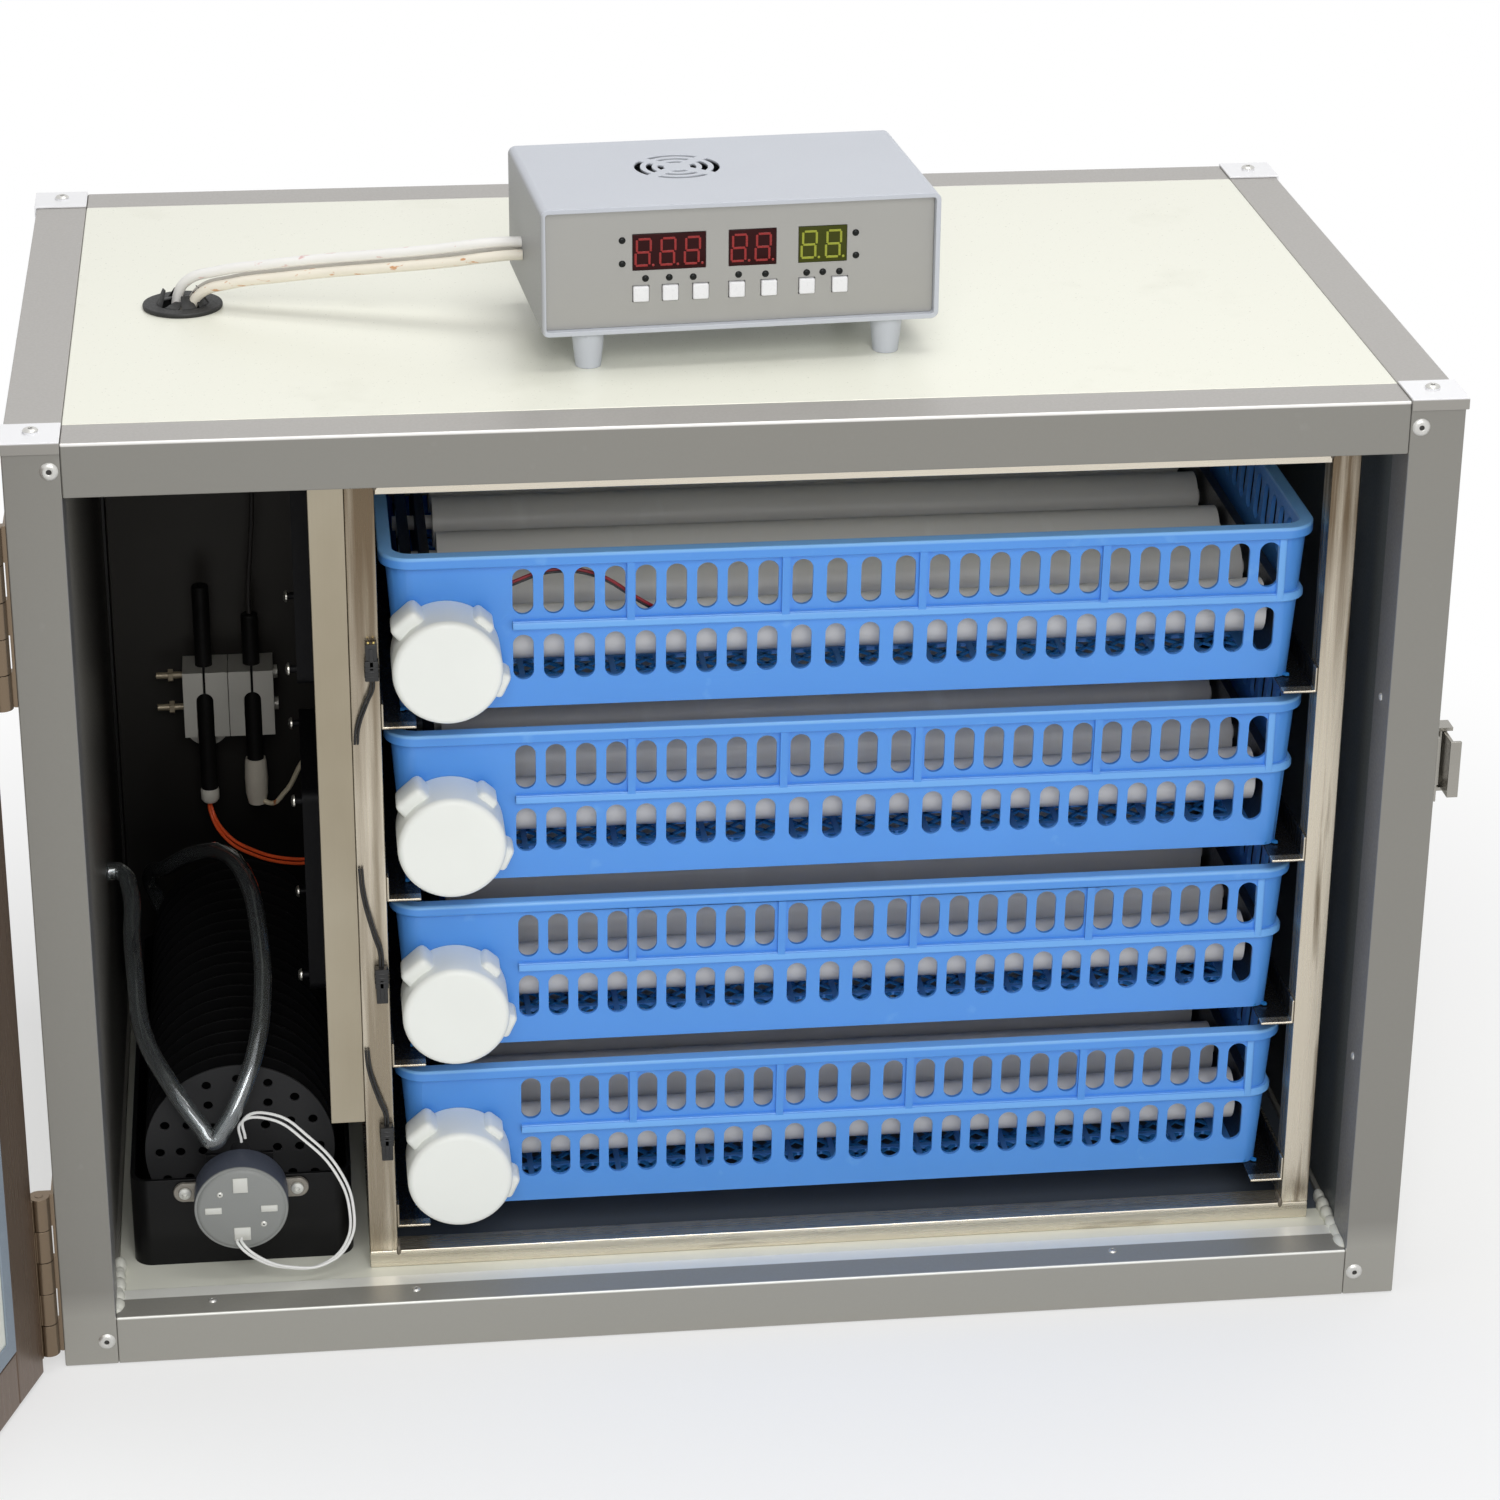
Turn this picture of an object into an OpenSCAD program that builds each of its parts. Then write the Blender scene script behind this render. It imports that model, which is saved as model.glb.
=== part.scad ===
// Roller-tray egg incubator. A tube-framed insulated cabinet holds a rack of egg-turning trays, with a
// fan, heater and humidifier bay on the left. The door stands open and the controller sits on the roof.
// Millimetres, +Z up, origin under the middle of the cabinet, front towards -Y.

/* [Cabinet] */
// Side of the square frame tube
frame_bar = 28; // [26:1:34]
// Wall of the frame tube
frame_wall = 1.6; // [1.2:0.1:2.4]
// Thickness of the insulated panels
panel_t = 26; // [20:1:26]
// Thickness of a corner cap
cap_t = 1.2; // [0.8:0.1:1.5]
// Lip of a corner cap down the frame
cap_lip = 5; // [3:0.5:8]
// Diameter of a rivet head
rivet_d = 7; // [5:0.5:9]

/* [Trays] */
// Width of a basket over its rim
basket_w = 484; // [450:1:520]
// Depth of a basket over its rim
basket_d = 280; // [260:1:320]
// Height of a basket
basket_h = 87; // [84:1:100]
// How far each basket wall leans in from the rim to the base
basket_draft = 9; // [6:0.5:10]
// Wall of a basket
basket_wall = 2.2; // [1.8:0.1:2.8]
// Corner radius at the base of a basket
basket_corner = 8; // [6:0.5:12]
// Height of the basket rim
rim_h = 6.5; // [5:0.5:8]
// Width of the basket rim
rim_w = 7; // [5.5:0.5:8]
// How far the rim stands out from the wall below it
rim_out = 3; // [2:0.5:3.5]
// Width of one air slot
slot_w = 10.6; // [8:0.1:11.5]
// Height of one air slot
slot_h = 25.5; // [20:0.5:26]
// Solid strip between the two rows of slots
slot_band = 11.5; // [10:0.5:12]
// Distance from the basket's left rim to the first front slot
slot_start = 72.5; // [66:0.5:90]
// Diameter of a roller
roller_d = 28; // [24:1:32]
// Wall of the roller tube
roller_wall = 2; // [1.5:0.1:3]
// Height of the roller axes above the basket's base
roller_z = 33; // [28:1:35]
// Distance from the basket's front and back rims to the end rollers
roller_inset = 31; // [28:1:34]
// Diameter of a roller journal
journal_d = 8; // [6:0.5:10]
// Thickness of the roller bearing plates
bearing_t = 5; // [4:0.5:6]
// Height of the roller bearing plates
bearing_h = 50; // [42:1:56]
// Diameter of the round motor cover
cover_d = 56; // [50:1:60]
// Depth of the motor cover in front of the rim
cover_reach = 26; // [20:1:30]

/* [Rack and bay] */
// Side of the square rack post
rack_tube = 15; // [12:1:20]
// Wall of the rack post
rack_wall = 1.2; // [1:0.1:2]
// Side of the rack's cross bars
rack_bar = 10; // [8:0.5:12]
// Rack front behind the face of the cabinet
rack_front = 40; // [36:1:60]
// Basket rim behind the rack front
tray_setback = 10; // [6:1:20]
// Height of the lowest basket above the floor
tray_lift = 26; // [20:1:40]
// Free height above each basket
tray_air = 10.5; // [8:0.5:30]
// Rack height above the topmost tray space
rack_head = 38; // [20:1:60]
// Gap between the rack and the roof rails
roof_gap = 8; // [4:1:30]
// Width of the bay beside the rack
bay_w = 135; // [132:1:170]
// Gap between the rack and the right-hand frame
rack_side_gap = 12; // [6:1:40]
// Space between the rack and the back panel
rear_space = 59; // [54:1:100]
// Width of an angle runner
runner_leg = 18; // [14:1:24]
// Thickness of the runner and partition sheet
sheet_t = 1.5; // [1:0.1:2]
// Width of the folded front edge of the partition
flange_w = 18; // [14:1:24]
// Bottom edge of the partition above the floor
partition_lift = 90; // [85:1:120]

/* [Fans] */
// Side of a fan housing
fan_size = 120; // [100:1:125]
// Depth of a fan housing
fan_t = 25; // [22:1:28]
// Diameter of the fan hub
fan_hub_d = 40; // [34:1:46]
// Diameter of the fan shaft
fan_shaft_d = 4; // [3:0.5:6]
// Number of fan blades
fan_blades = 7; // [5:1:9]

/* [Humidifier] */
// Width of the water pan
pan_w = 118; // [114:1:124]
// Length of the water pan
pan_l = 300; // [280:1:310]
// Height of the water pan
pan_h = 52; // [44:1:56]
// Wall of the water pan
pan_wall = 2.5; // [2:0.1:3]
// Corner radius of the water pan
pan_corner = 10; // [6:1:22]
// Front of the pan behind the face of the cabinet
pan_front = 55; // [50:1:60]
// Diameter of the evaporator discs
drum_d = 102; // [90:1:104]
// Height of the drum axis above the floor
drum_lift = 56; // [56:1:60]
// Distance between neighbouring discs
disc_pitch = 13.6; // [10:0.2:18]
// Thickness of a disc
disc_t = 1.6; // [1.2:0.1:2.4]
// Diameter of the drum journals
drum_journal_d = 6; // [5:0.5:7]
// Diameter of the drum motor
motor_d = 50; // [44:1:54]
// Depth of the drum motor
motor_t = 20; // [16:1:22]
// Offset of the motor's centre below its output shaft
motor_offset = 12; // [8:1:14]

/* [Heater] */
// Diameter of a heater rod
rod_d = 10; // [8:0.5:12]
// Distance between the heater rods
rod_spacing = 28; // [24:1:32]
// Heater rod axes in front of the back panel
heater_gap = 29; // [26:1:34]
// Height of the clamp's middle above the floor
clamp_lift = 197; // [190:1:220]
// Width of the clamp block
clamp_w = 53; // [48:1:58]
// Height of the clamp block
clamp_h = 41; // [36:1:44]
// Depth of the clamp blocks
clamp_d = 28; // [24:1:32]

/* [Controller] */
// Width of the controller case
case_w = 204; // [190:1:230]
// Depth of the controller case
case_d = 121; // [100:1:140]
// Height of the controller case
case_h = 66; // [60:1:90]
// Wall of the controller case
case_wall = 2.5; // [2:0.1:3.5]
// Radius of the long edges of the case
case_edge = 4; // [3.5:0.5:12]
// Case centre to the right of the cabinet's middle
case_shift = 7; // [-40:1:60]
// Case front behind the face of the cabinet
case_front = 89; // [60:1:140]
// Turn of the case on the roof, in degrees
case_turn = 4; // [0:0.5:6]
// Height of the feet
foot_h = 19; // [10:1:25]
// Depth of the front panel inside the bezel
panel_recess = 4; // [2:0.5:8]
// Side of a push button
button_s = 8; // [6:0.5:9]
// Grommet centre from the left-hand frame
grommet_inset = 56.5; // [50:0.5:80]
// Grommet centre behind the face of the cabinet
grommet_y = 211; // [190:1:230]
// Diameter of the cable hole in the roof
grommet_d = 34; // [32:1:40]

/* [Door] */
// Angle that the door stands open
door_open = 110; // [0:1:175]
// Thickness of the door
door_t = 26; // [20:1:32]
// Face width of the door frame
door_bar = 32; // [26:1:40]
// Thickness of the door panel
door_panel_t = 20; // [12:1:20]
// Width of the door seal
seal_w = 10; // [6:1:16]
// Length of a hinge
hinge_l = 95; // [80:1:120]
// Outer diameter of a hinge knuckle
knuckle_d = 11; // [9:0.5:12]
// Diameter of a hinge pin
hinge_pin_d = 4; // [3:0.5:6]

/* [Hidden] */
$fn = 48;
tray_n = 4;
roller_n = 5;
fit = 0.1;
running = 0.05;
slide_gap = 0.3;
tray_side_gap = 1.5;

// Sizes that follow from the trays outwards
rack_w = basket_w + 2 * (tray_side_gap + rack_tube);
rack_d = tray_setback + basket_d + rack_tube;
inner_w = bay_w + rack_w + rack_side_gap;
cabinet_w = inner_w + 2 * frame_bar;
cabinet_d = rack_front + rack_d + rear_space + panel_t;
tray_pitch = basket_h + tray_air;
function tray_z(i) = panel_t + tray_lift + i * tray_pitch;
rack_top = tray_z(tray_n) + rack_head;
cabinet_h = rack_top + roof_gap + frame_bar;
side_x = cabinet_w / 2;
bay_x = -inner_w / 2 + bay_w / 2;
rack_x0 = -inner_w / 2 + bay_w;
rack_x1 = rack_x0 + rack_w;
basket_x0 = rack_x0 + rack_tube + tray_side_gap;
basket_y0 = rack_front + tray_setback;
roller_pitch = (basket_d - 2 * roller_inset) / (roller_n - 1);

// Places inside a basket, from its left rim
wall_foot = basket_draft + basket_wall;
belt_x = wall_foot + 3;
belt_w = 6;
belt_t = 1.2;
pulley_d = 16;
left_bearing_x = belt_x + belt_w + 4;
roller_x0 = left_bearing_x + bearing_t + 5;
right_bearing_x = basket_w - wall_foot - bearing_t - 2;
roller_x1 = right_bearing_x - 3;
cover_x = 32.5;
cover_z = 34;
cover_wall = 2;

// The front slots stand in groups with a rib between groups
slot_groups = [4, 5, 4, 6, 6];
slot_pitches = [15.7, 15.7, 17.7, 15.7, 15.7];
slot_foot = 15.5;
rib_w = 4;
rib_t = 2.6;
function group_gap(g) = max(slot_pitches[g - 1], slot_pitches[g]);
function group_x(g) =
    g == 0 ? slot_start
    : group_x(g - 1) + (slot_groups[g - 1] - 1) * slot_pitches[g - 1] + group_gap(g);
function row_z(k) = slot_foot + k * (slot_h + slot_band);
slot_last = basket_w - basket_draft - basket_corner - slot_w / 2;
front_slots = [
    for (g = [0:len(slot_groups) - 1], k = [0:slot_groups[g] - 1])
        let (x = group_x(g) + k * slot_pitches[g]) if (x < slot_last) x
];
rib_places = [
    for (g = [1:len(slot_groups) - 1])
        let (x = group_x(g) - group_gap(g) / 2) if (x < slot_last) x
];
side_slot_pitch = 17;
side_slot_n = floor((basket_d - 2 * (basket_draft + basket_corner) - slot_w) / side_slot_pitch);
mesh_cell = 24;
mesh_bar = 3;

// Left bay
sheet_x = rack_x0 - fit - sheet_t;
partition_z = panel_t + partition_lift;
fan_bore_d = fan_size - 6;
fan_y = rack_front + rack_d / 2;
function fan_z(i) = partition_z + (2 * i + 1) / 4 * (rack_top - partition_z);
fan_screw_offset = fan_size / 2 - 7.5;
drum_z = panel_t + drum_lift;
drum_y0 = pan_front + 23;
drum_l = pan_l - 40;
disc_n = floor((drum_l - disc_t) / disc_pitch) + 1;
bracket_t = 3;
bracket_w = 36;
bracket_top = drum_z + 10;
heater_y = cabinet_d - panel_t - heater_gap;
clamp_z = panel_t + clamp_lift;
// Bottom and top of the left and right heater rods from the clamp's middle
rod_spans = [[-64, 71], [-52, 52]];

// Controller
case_x = case_shift;
case_z = cabinet_h + foot_h;
face_t = 2.5;
// Display windows from the case centre: middle, width
windows = [[-36.5, 37.5], [6, 24.5], [42, 25]];
window_z = 41;
window_h = 19;
window_deep = 0.8;
// Push buttons from the case centre
button_places = [-51, -36, -20.5, -2, 14.5, 34, 51];
button_z = 19.5;
button_proud = 1.6;
button_gap = 0.3;
// Left side of the turned case at a distance from the cabinet's face
function case_side(y) =
    let (along = (y - case_front + case_w / 2 * sin(case_turn)) / cos(case_turn))
    case_x - case_w / 2 * cos(case_turn) - along * sin(case_turn);
grommet_x = -inner_w / 2 + grommet_inset;
grommet_bore_d = grommet_d - 8;
grommet_flange_d = grommet_d + 8;
grommet_flange_t = 2.5;

// Door, drawn closed and then swung open
door_gap = cap_t + slide_gap;
pin_x = -side_x - knuckle_d / 2 - 2;
pin_y = -door_gap / 2;
leaf_t = 1.5;
leaf_w = 22;
door_foot = 2;
seal_t = door_gap - slide_gap;
knuckle_n = 5;
knuckle_gap = 0.4;
hinge_feet = [10, cabinet_h - 41 - hinge_l];
latch_z = 295;
latch_h = 36;
latch_y = 20;
latch_pin_d = 3;
latch_reach = 7;

// Cable and tube routes: x from the middle, y from the cabinet face, z from the roof or the floor
cable_d = 5.5;
cable_route = [
    [-274, 211, -20], [-274, 211, 2], [-269, 209, 11], [-252, 203, 18], [-228, 195, 23],
    [-200, 186, 28], [-170, 175, 33], [-140, 165, 38], [-122, 158, 42], [-108, 155, 44]
];
cable_offsets = [[-4, 0, 3.5], [3, -5, -2], [3, 4.5, -3]];
wire_d = 3;
left_rod_wire = [
    [-278.5, 375, 133], [-278.5, 375, 123], [-270, 364, 108], [-254, 354, 96], [-232, 344, 92],
    [-212, 338, 96], [-198.6, 338, 96]
];
right_rod_wire = [
    [-250.5, 375, 145], [-250.5, 375, 136], [-244, 370, 128], [-234, 362, 138], [-222, 350, 164],
    [-210, 340, 182], [-198.6, 340, 182]
];
roof_wire = [[-250.5, 375, 249], [-250.5, 375, 260], [-246, 372, 320], [-246, 372, 464]];
motor_lead = [
    [-266, 34, 26], [-266, 30, 26], [-256, 27, 17], [-240, 28, 10], [-222, 31, 9], [-209, 35, 19],
    [-206, 39, 38], [-213, 43, 60], [-228, 47, 78], [-246, 52, 90], [-262, 56.5, 86], [-262, 56.5, 74]
];
// Plugs of the turning motors on the left rack post: lower end, and where the lead leaves the post
plug_places = [[95, 160], [189, 266], [372, 336]];
plug_size = [7, 6, 20];
plug_x = rack_x0 + rack_tube - 4;
plug_lead_d = 2.6;
water_d = 10;
water_route = [
    [-334, 216, 160], [-327, 216, 160], [-321, 202, 154], [-320, 170, 142], [-318, 140, 134],
    [-314, 106, 116], [-300, 72, 102], [-278, 50, 78], [-265, 58, 94], [-254, 76, 116],
    [-249, 104, 136], [-250, 140, 156], [-256, 180, 168], [-268, 220, 166], [-286, 256, 150],
    [-304, 290, 126], [-314, 322, 108], [-314, 346, 84], [-303, 345.5, 56], [-300, 345, 26]
];

button_names = ["button_1", "button_2", "button_3", "button_4", "button_5", "button_6", "button_7"];

// Moves a child drawn from the cabinet's face to the frame under the cabinet's middle
module placed() {
    translate([0, -cabinet_d / 2, 0]) children();
}

module box(low, high) {
    translate(low) cube(high - low);
}

// A square tube along one axis, 0, 1 or 2 for X, Y or Z, with a plug in its far end
module tube_bar(low, high, wall, axis) {
    inset = [for (k = [0:2]) k == axis ? -1 : wall];
    difference() {
        box(low, high);
        box(low + inset, high - [wall, wall, wall]);
    }
}

// A rectangle with round corners, centred
module rounded(w, h, r) {
    square([w - 2 * r, h], center = true);
    square([w, h - 2 * r], center = true);
    for (x = [-1, 1], y = [-1, 1])
        translate([x * (w / 2 - r), y * (h / 2 - r)]) circle(r);
}

// An upright slot with round ends, from its lower end
module slot_shape(w, h) {
    translate([-w / 2, w / 2]) square([w, h - w]);
    for (y = [w / 2, h - w / 2]) translate([0, y]) circle(d = w);
}

// A cylinder along +X or along +Y
module rod_x(d, l) {
    rotate([0, 90, 0]) cylinder(d = d, h = l);
}

module rod_y(d, l) {
    rotate([-90, 0, 0]) cylinder(d = d, h = l);
}

// A round tube swept along a list of points
function unit(v) = v / norm(v);
function headings(p) = [
    for (i = [0:len(p) - 1]) unit(p[min(i + 1, len(p) - 1)] - p[max(i - 1, 0)])
];
function first_side(t) = unit(cross(t, abs(t[2]) < 0.9 ? [0, 0, 1] : [0, 1, 0]));
function carried_sides(t, i, n) =
    i == len(t) ? [] : let (m = unit(n - (n * t[i]) * t[i])) concat([m], carried_sides(t, i + 1, m));
module swept_tube(route, d, sides) {
    t = headings(route);
    n = carried_sides(t, 0, first_side(t[0]));
    last = len(route) - 1;
    points = [
        for (i = [0:last], k = [0:sides - 1])
            let (a = 360 * k / sides)
                route[i] + d / 2 * (cos(a) * n[i] + sin(a) * cross(t[i], n[i]))
    ];
    walls = [
        for (i = [0:last - 1], k = [0:sides - 1])
            let (a = i * sides + k, b = i * sides + (k + 1) % sides)
                each [[a, a + sides, b], [b, a + sides, b + sides]]
    ];
    start = [for (k = [1:sides - 2]) [0, k, k + 1]];
    end = [for (k = [1:sides - 2]) [last * sides, last * sides + k + 1, last * sides + k]];
    polyhedron(points, concat(start, walls, end));
}

// Cabinet: frame, caps and panels
module cabinet_frame() color([0.55, 0.54, 0.52]) placed() {
    for (x = [-side_x, side_x - frame_bar], y = [0, cabinet_d - frame_bar])
        tube_bar([x, y, 0], [x + frame_bar, y + frame_bar, cabinet_h], frame_wall, 2);
    for (y = [0, cabinet_d - frame_bar], z = [0, cabinet_h - frame_bar])
        tube_bar(
            [-inner_w / 2 + fit, y, z],
            [inner_w / 2 - fit, y + frame_bar, z + frame_bar], frame_wall, 0
        );
    for (x = [-side_x, side_x - frame_bar], z = [0, cabinet_h - frame_bar])
        tube_bar(
            [x, frame_bar + fit, z],
            [x + frame_bar, cabinet_d - frame_bar - fit, z + frame_bar], frame_wall, 1
        );
}

module corner_cap() {
    difference() {
        box([-cap_t, -cap_t, -cap_lip], [frame_bar, frame_bar, cap_t]);
        box([0, 0, -cap_lip - 1], [frame_bar + 1, frame_bar + 1, 0]);
    }
    translate([frame_bar / 2, frame_bar / 2, 0]) cylinder(d = rivet_d, h = 2 * cap_t);
}

// Caps on the four upper corners and the rivets in the front uprights
module corner_caps() color([0.95, 0.95, 0.96]) placed() {
    for (side = [0, 1], back = [0, 1])
        translate([(2 * side - 1) * side_x, back * cabinet_d, cabinet_h])
            mirror([side, 0, 0]) mirror([0, back, 0]) corner_cap();
    for (x = [-1, 1], z = [frame_bar / 2, cabinet_h - frame_bar / 2])
        translate([x * (side_x - 0.8 * frame_bar), -cap_t, z]) rod_y(rivet_d, cap_t);
}

module top_panel() color([0.96, 0.96, 0.91]) placed() difference() {
    box(
        [-inner_w / 2 + fit, frame_bar + fit, cabinet_h - panel_t],
        [inner_w / 2 - fit, cabinet_d - frame_bar - fit, cabinet_h]
    );
    translate([grommet_x, grommet_y, cabinet_h - panel_t - 1]) cylinder(d = grommet_d, h = panel_t + 2);
}

// Floor, back and side panels
module shell_panels() color([0.9, 0.9, 0.86]) placed() {
    box(
        [-inner_w / 2 + fit, frame_bar + fit, 0],
        [inner_w / 2 - fit, cabinet_d - frame_bar - fit, panel_t]
    );
    box(
        [-inner_w / 2 + fit, cabinet_d - panel_t, frame_bar + fit],
        [inner_w / 2 - fit, cabinet_d, cabinet_h - frame_bar - fit]
    );
    for (x = [-side_x, side_x - panel_t])
        box(
            [x, frame_bar + fit, frame_bar + fit],
            [x + panel_t, cabinet_d - frame_bar - fit, cabinet_h - frame_bar - fit]
        );
}

// Rack: posts, cross bars and angle runners
module tray_rack() color([0.72, 0.69, 0.63]) placed() {
    back = rack_front + rack_d;
    for (x = [rack_x0, rack_x1 - rack_tube], y = [rack_front, back - rack_tube])
        tube_bar([x, y, panel_t + rack_bar + fit], [x + rack_tube, y + rack_tube, rack_top], rack_wall, 2);
    for (y = [rack_front, back - rack_tube])
        box([rack_x0, y, panel_t], [rack_x1, y + rack_tube, panel_t + rack_bar]);
    for (y = [rack_front, back - rack_bar])
        box(
            [rack_x0 + rack_tube + fit, y, rack_top - rack_bar],
            [rack_x1 - rack_tube - fit, y + rack_bar, rack_top]
        );
    for (z = [panel_t, rack_top - rack_bar], x = [rack_x0, rack_x1 - rack_bar])
        box(
            [x, rack_front + rack_tube + fit, z],
            [x + rack_bar, back - rack_tube - fit, z + rack_bar]
        );
    for (i = [0:tray_n - 1], side = [0, 1])
        translate([side == 0 ? rack_x0 + rack_tube : rack_x1 - rack_tube, 0, tray_z(i) - slide_gap])
            mirror([side, 0, 0]) {
                box([fit, rack_front, -sheet_t], [runner_leg, back, 0]);
                box([fit, rack_front, -sheet_t], [sheet_t - fit, back, runner_leg * 0.7]);
            }
}

// Trays: basket, drive and rollers, each drawn from the basket's left front rim corner
module on_tray(i) {
    placed() translate([basket_x0, basket_y0, tray_z(i)]) children();
}

// Outer face of the front wall at a height
function wall_y(z) = basket_draft - (basket_draft - rim_out) * z / basket_h;

module wall_profile() {
    polygon([
        [wall_y(0), 0], [wall_y(basket_h), basket_h],
        [wall_y(basket_h) + basket_wall, basket_h], [wall_y(0) + basket_wall, 0]
    ]);
}

// A leaning wall along +X with its outer face towards -Y
module leaning_wall(l) {
    rotate([90, 0, 90]) linear_extrude(l) wall_profile();
}

module basket_corner_shell() {
    top_r = basket_corner + basket_draft - rim_out;
    intersection() {
        difference() {
            cylinder(r1 = basket_corner, r2 = top_r, h = basket_h);
            cylinder(r1 = basket_corner - basket_wall, r2 = top_r - basket_wall, h = basket_h);
        }
        box([-top_r - 1, -top_r - 1, -1], [0, 0, basket_h + 1]);
    }
}

module basket_shell() {
    c = basket_draft + basket_corner;
    translate([c, 0, 0]) leaning_wall(basket_w - 2 * c);
    translate([c, basket_d, 0]) mirror([0, 1, 0]) leaning_wall(basket_w - 2 * c);
    translate([0, basket_d - c, 0]) rotate([0, 0, -90]) leaning_wall(basket_d - 2 * c);
    translate([basket_w, c, 0]) rotate([0, 0, 90]) leaning_wall(basket_d - 2 * c);
    for (x = [0, 1], y = [0, 1])
        translate([x * basket_w, y * basket_d, 0]) mirror([x, 0, 0]) mirror([0, y, 0])
            translate([c, c, 0]) basket_corner_shell();
}

module basket_rim() {
    r = basket_draft + basket_corner;
    translate([basket_w / 2, basket_d / 2, basket_h - rim_h]) linear_extrude(rim_h) difference() {
        rounded(basket_w, basket_d, r);
        rounded(basket_w - 2 * rim_w, basket_d - 2 * rim_w, r - rim_w);
    }
}

module basket_floor() {
    w = basket_w - 2 * basket_draft;
    d = basket_d - 2 * basket_draft;
    nx = floor((w - 2 * basket_corner) / mesh_cell);
    ny = floor((d - 2 * basket_corner) / mesh_cell);
    hole = mesh_cell - mesh_bar;
    translate([basket_w / 2, basket_d / 2, 0]) linear_extrude(basket_wall) difference() {
        rounded(w, d, basket_corner);
        for (i = [0:nx - 1], k = [0:ny - 1])
            translate([(i - (nx - 1) / 2) * mesh_cell, (k - (ny - 1) / 2) * mesh_cell])
                square(hole, center = true);
    }
}

module basket_slots() {
    for (k = [0, 1]) {
        for (x = front_slots, y = [0, basket_d])
            translate([x, y + wall_foot + 1, row_z(k)]) rotate([90, 0, 0])
                linear_extrude(2 * (wall_foot + 1)) slot_shape(slot_w, slot_h);
        for (n = [0:side_slot_n - 1], x = [0, basket_w])
            translate([
                x - wall_foot - 1,
                basket_d / 2 + (n - (side_slot_n - 1) / 2) * side_slot_pitch, row_z(k)
            ])
                rotate([90, 0, 90]) linear_extrude(2 * (wall_foot + 1))
                    slot_shape(slot_w, slot_h);
    }
}

// Ribs on the outside of the front wall: one along, the others upright between slot groups
module basket_ribs() {
    z0 = row_z(1) - slot_band / 2 - rib_w / 2;
    z1 = basket_h - rim_h;
    long_start = front_slots[0] - slot_w / 2;
    box(
        [long_start, wall_y(z0) - rib_t, z0],
        [basket_w - basket_draft - basket_corner, wall_y(z0) + basket_wall / 2, z0 + rib_w]
    );
    for (x = rib_places)
        translate([x - rib_w / 2, 0, 0]) rotate([90, 0, 90]) linear_extrude(rib_w) polygon([
            [wall_y(z0) - rib_t, z0], [wall_y(z1) - rib_t, z1],
            [wall_y(z1) + basket_wall / 2, z1], [wall_y(z0) + basket_wall / 2, z0]
        ]);
}

module tray_basket(i) color([0.36, 0.63, 0.92]) on_tray(i) {
    difference() {
        basket_shell();
        basket_slots();
    }
    basket_rim();
    basket_floor();
    basket_ribs();
}

module bearing_plate(x) {
    difference() {
        box(
            [x, wall_foot + 2, basket_wall],
            [x + bearing_t, basket_d - wall_foot - 2, bearing_h]
        );
        for (k = [0:roller_n - 1])
            translate([x - 1, roller_inset + k * roller_pitch, roller_z])
                rod_x(journal_d + 2 * running, bearing_t + 2);
    }
}

module belt_outline(r) {
    span = (roller_n - 1) * roller_pitch;
    translate([0, -r]) square([span, 2 * r]);
    for (x = [0, span]) translate([x, 0]) circle(r);
}

// Round cup with three lugs over the turning motor, and the motor inside it
module motor_cover() {
    lug_reach = cover_d / 2 - 2;
    lug_d = 14;
    web_w = 12;
    lug_t = 12;
    lug_step = 0.4;
    drive_l = 18;
    depth = cover_reach + wall_y(cover_z + lug_reach) - slide_gap;
    translate([cover_x, -cover_reach, cover_z]) {
        difference() {
            union() {
                rod_y(cover_d, depth);
                for (a = [135, 48, -25])
                    rotate([0, -a, 0]) translate([0, depth - lug_t - lug_step, 0]) {
                        box([0, 0, -web_w / 2], [lug_reach, lug_t, web_w / 2]);
                        translate([lug_reach, 0, 0]) rod_y(lug_d, lug_t);
                    }
            }
            translate([0, cover_wall, 0]) rod_y(cover_d - 2 * cover_wall, depth);
        }
        translate([0, depth - drive_l, 0]) rod_y(cover_d - 2 * (cover_wall + fit), drive_l);
    }
}

module tray_drive(i) color([0.91, 0.92, 0.9]) on_tray(i) {
    bearing_plate(left_bearing_x);
    bearing_plate(right_bearing_x);
    translate([belt_x, roller_inset, roller_z]) rotate([90, 0, 90]) linear_extrude(belt_w) difference() {
        belt_outline(pulley_d / 2 + slide_gap + belt_t);
        belt_outline(pulley_d / 2 + slide_gap);
    }
    motor_cover();
}

// Tube with a closed drive end and a four-armed plug at the other end
module tray_roller(i, k) color([0.62, 0.61, 0.6]) on_tray(i)
    translate([0, roller_inset + k * roller_pitch, roller_z]) {
        inner_d = roller_d - 2 * roller_wall;
        arm_reach = (inner_d + roller_wall) / 2;
        plug_t = 6;
        arm_w = 6;
        translate([roller_x0, 0, 0]) difference() {
            rod_x(roller_d, roller_x1 - roller_x0);
            translate([plug_t, 0, 0]) rod_x(inner_d, roller_x1 - roller_x0);
        }
        for (a = [0, 90])
            translate([roller_x1 - plug_t, 0, 0]) rotate([a, 0, 0])
                box([0, -arm_reach, -arm_w / 2], [plug_t, arm_reach, arm_w / 2]);
        translate([belt_x - 2, 0, 0]) rod_x(journal_d, roller_x0 - belt_x + 4);
        translate([belt_x, 0, 0]) rod_x(pulley_d, belt_w);
        translate([roller_x1 - plug_t, 0, 0])
            rod_x(journal_d, right_bearing_x + bearing_t - roller_x1 + plug_t);
    }

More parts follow.
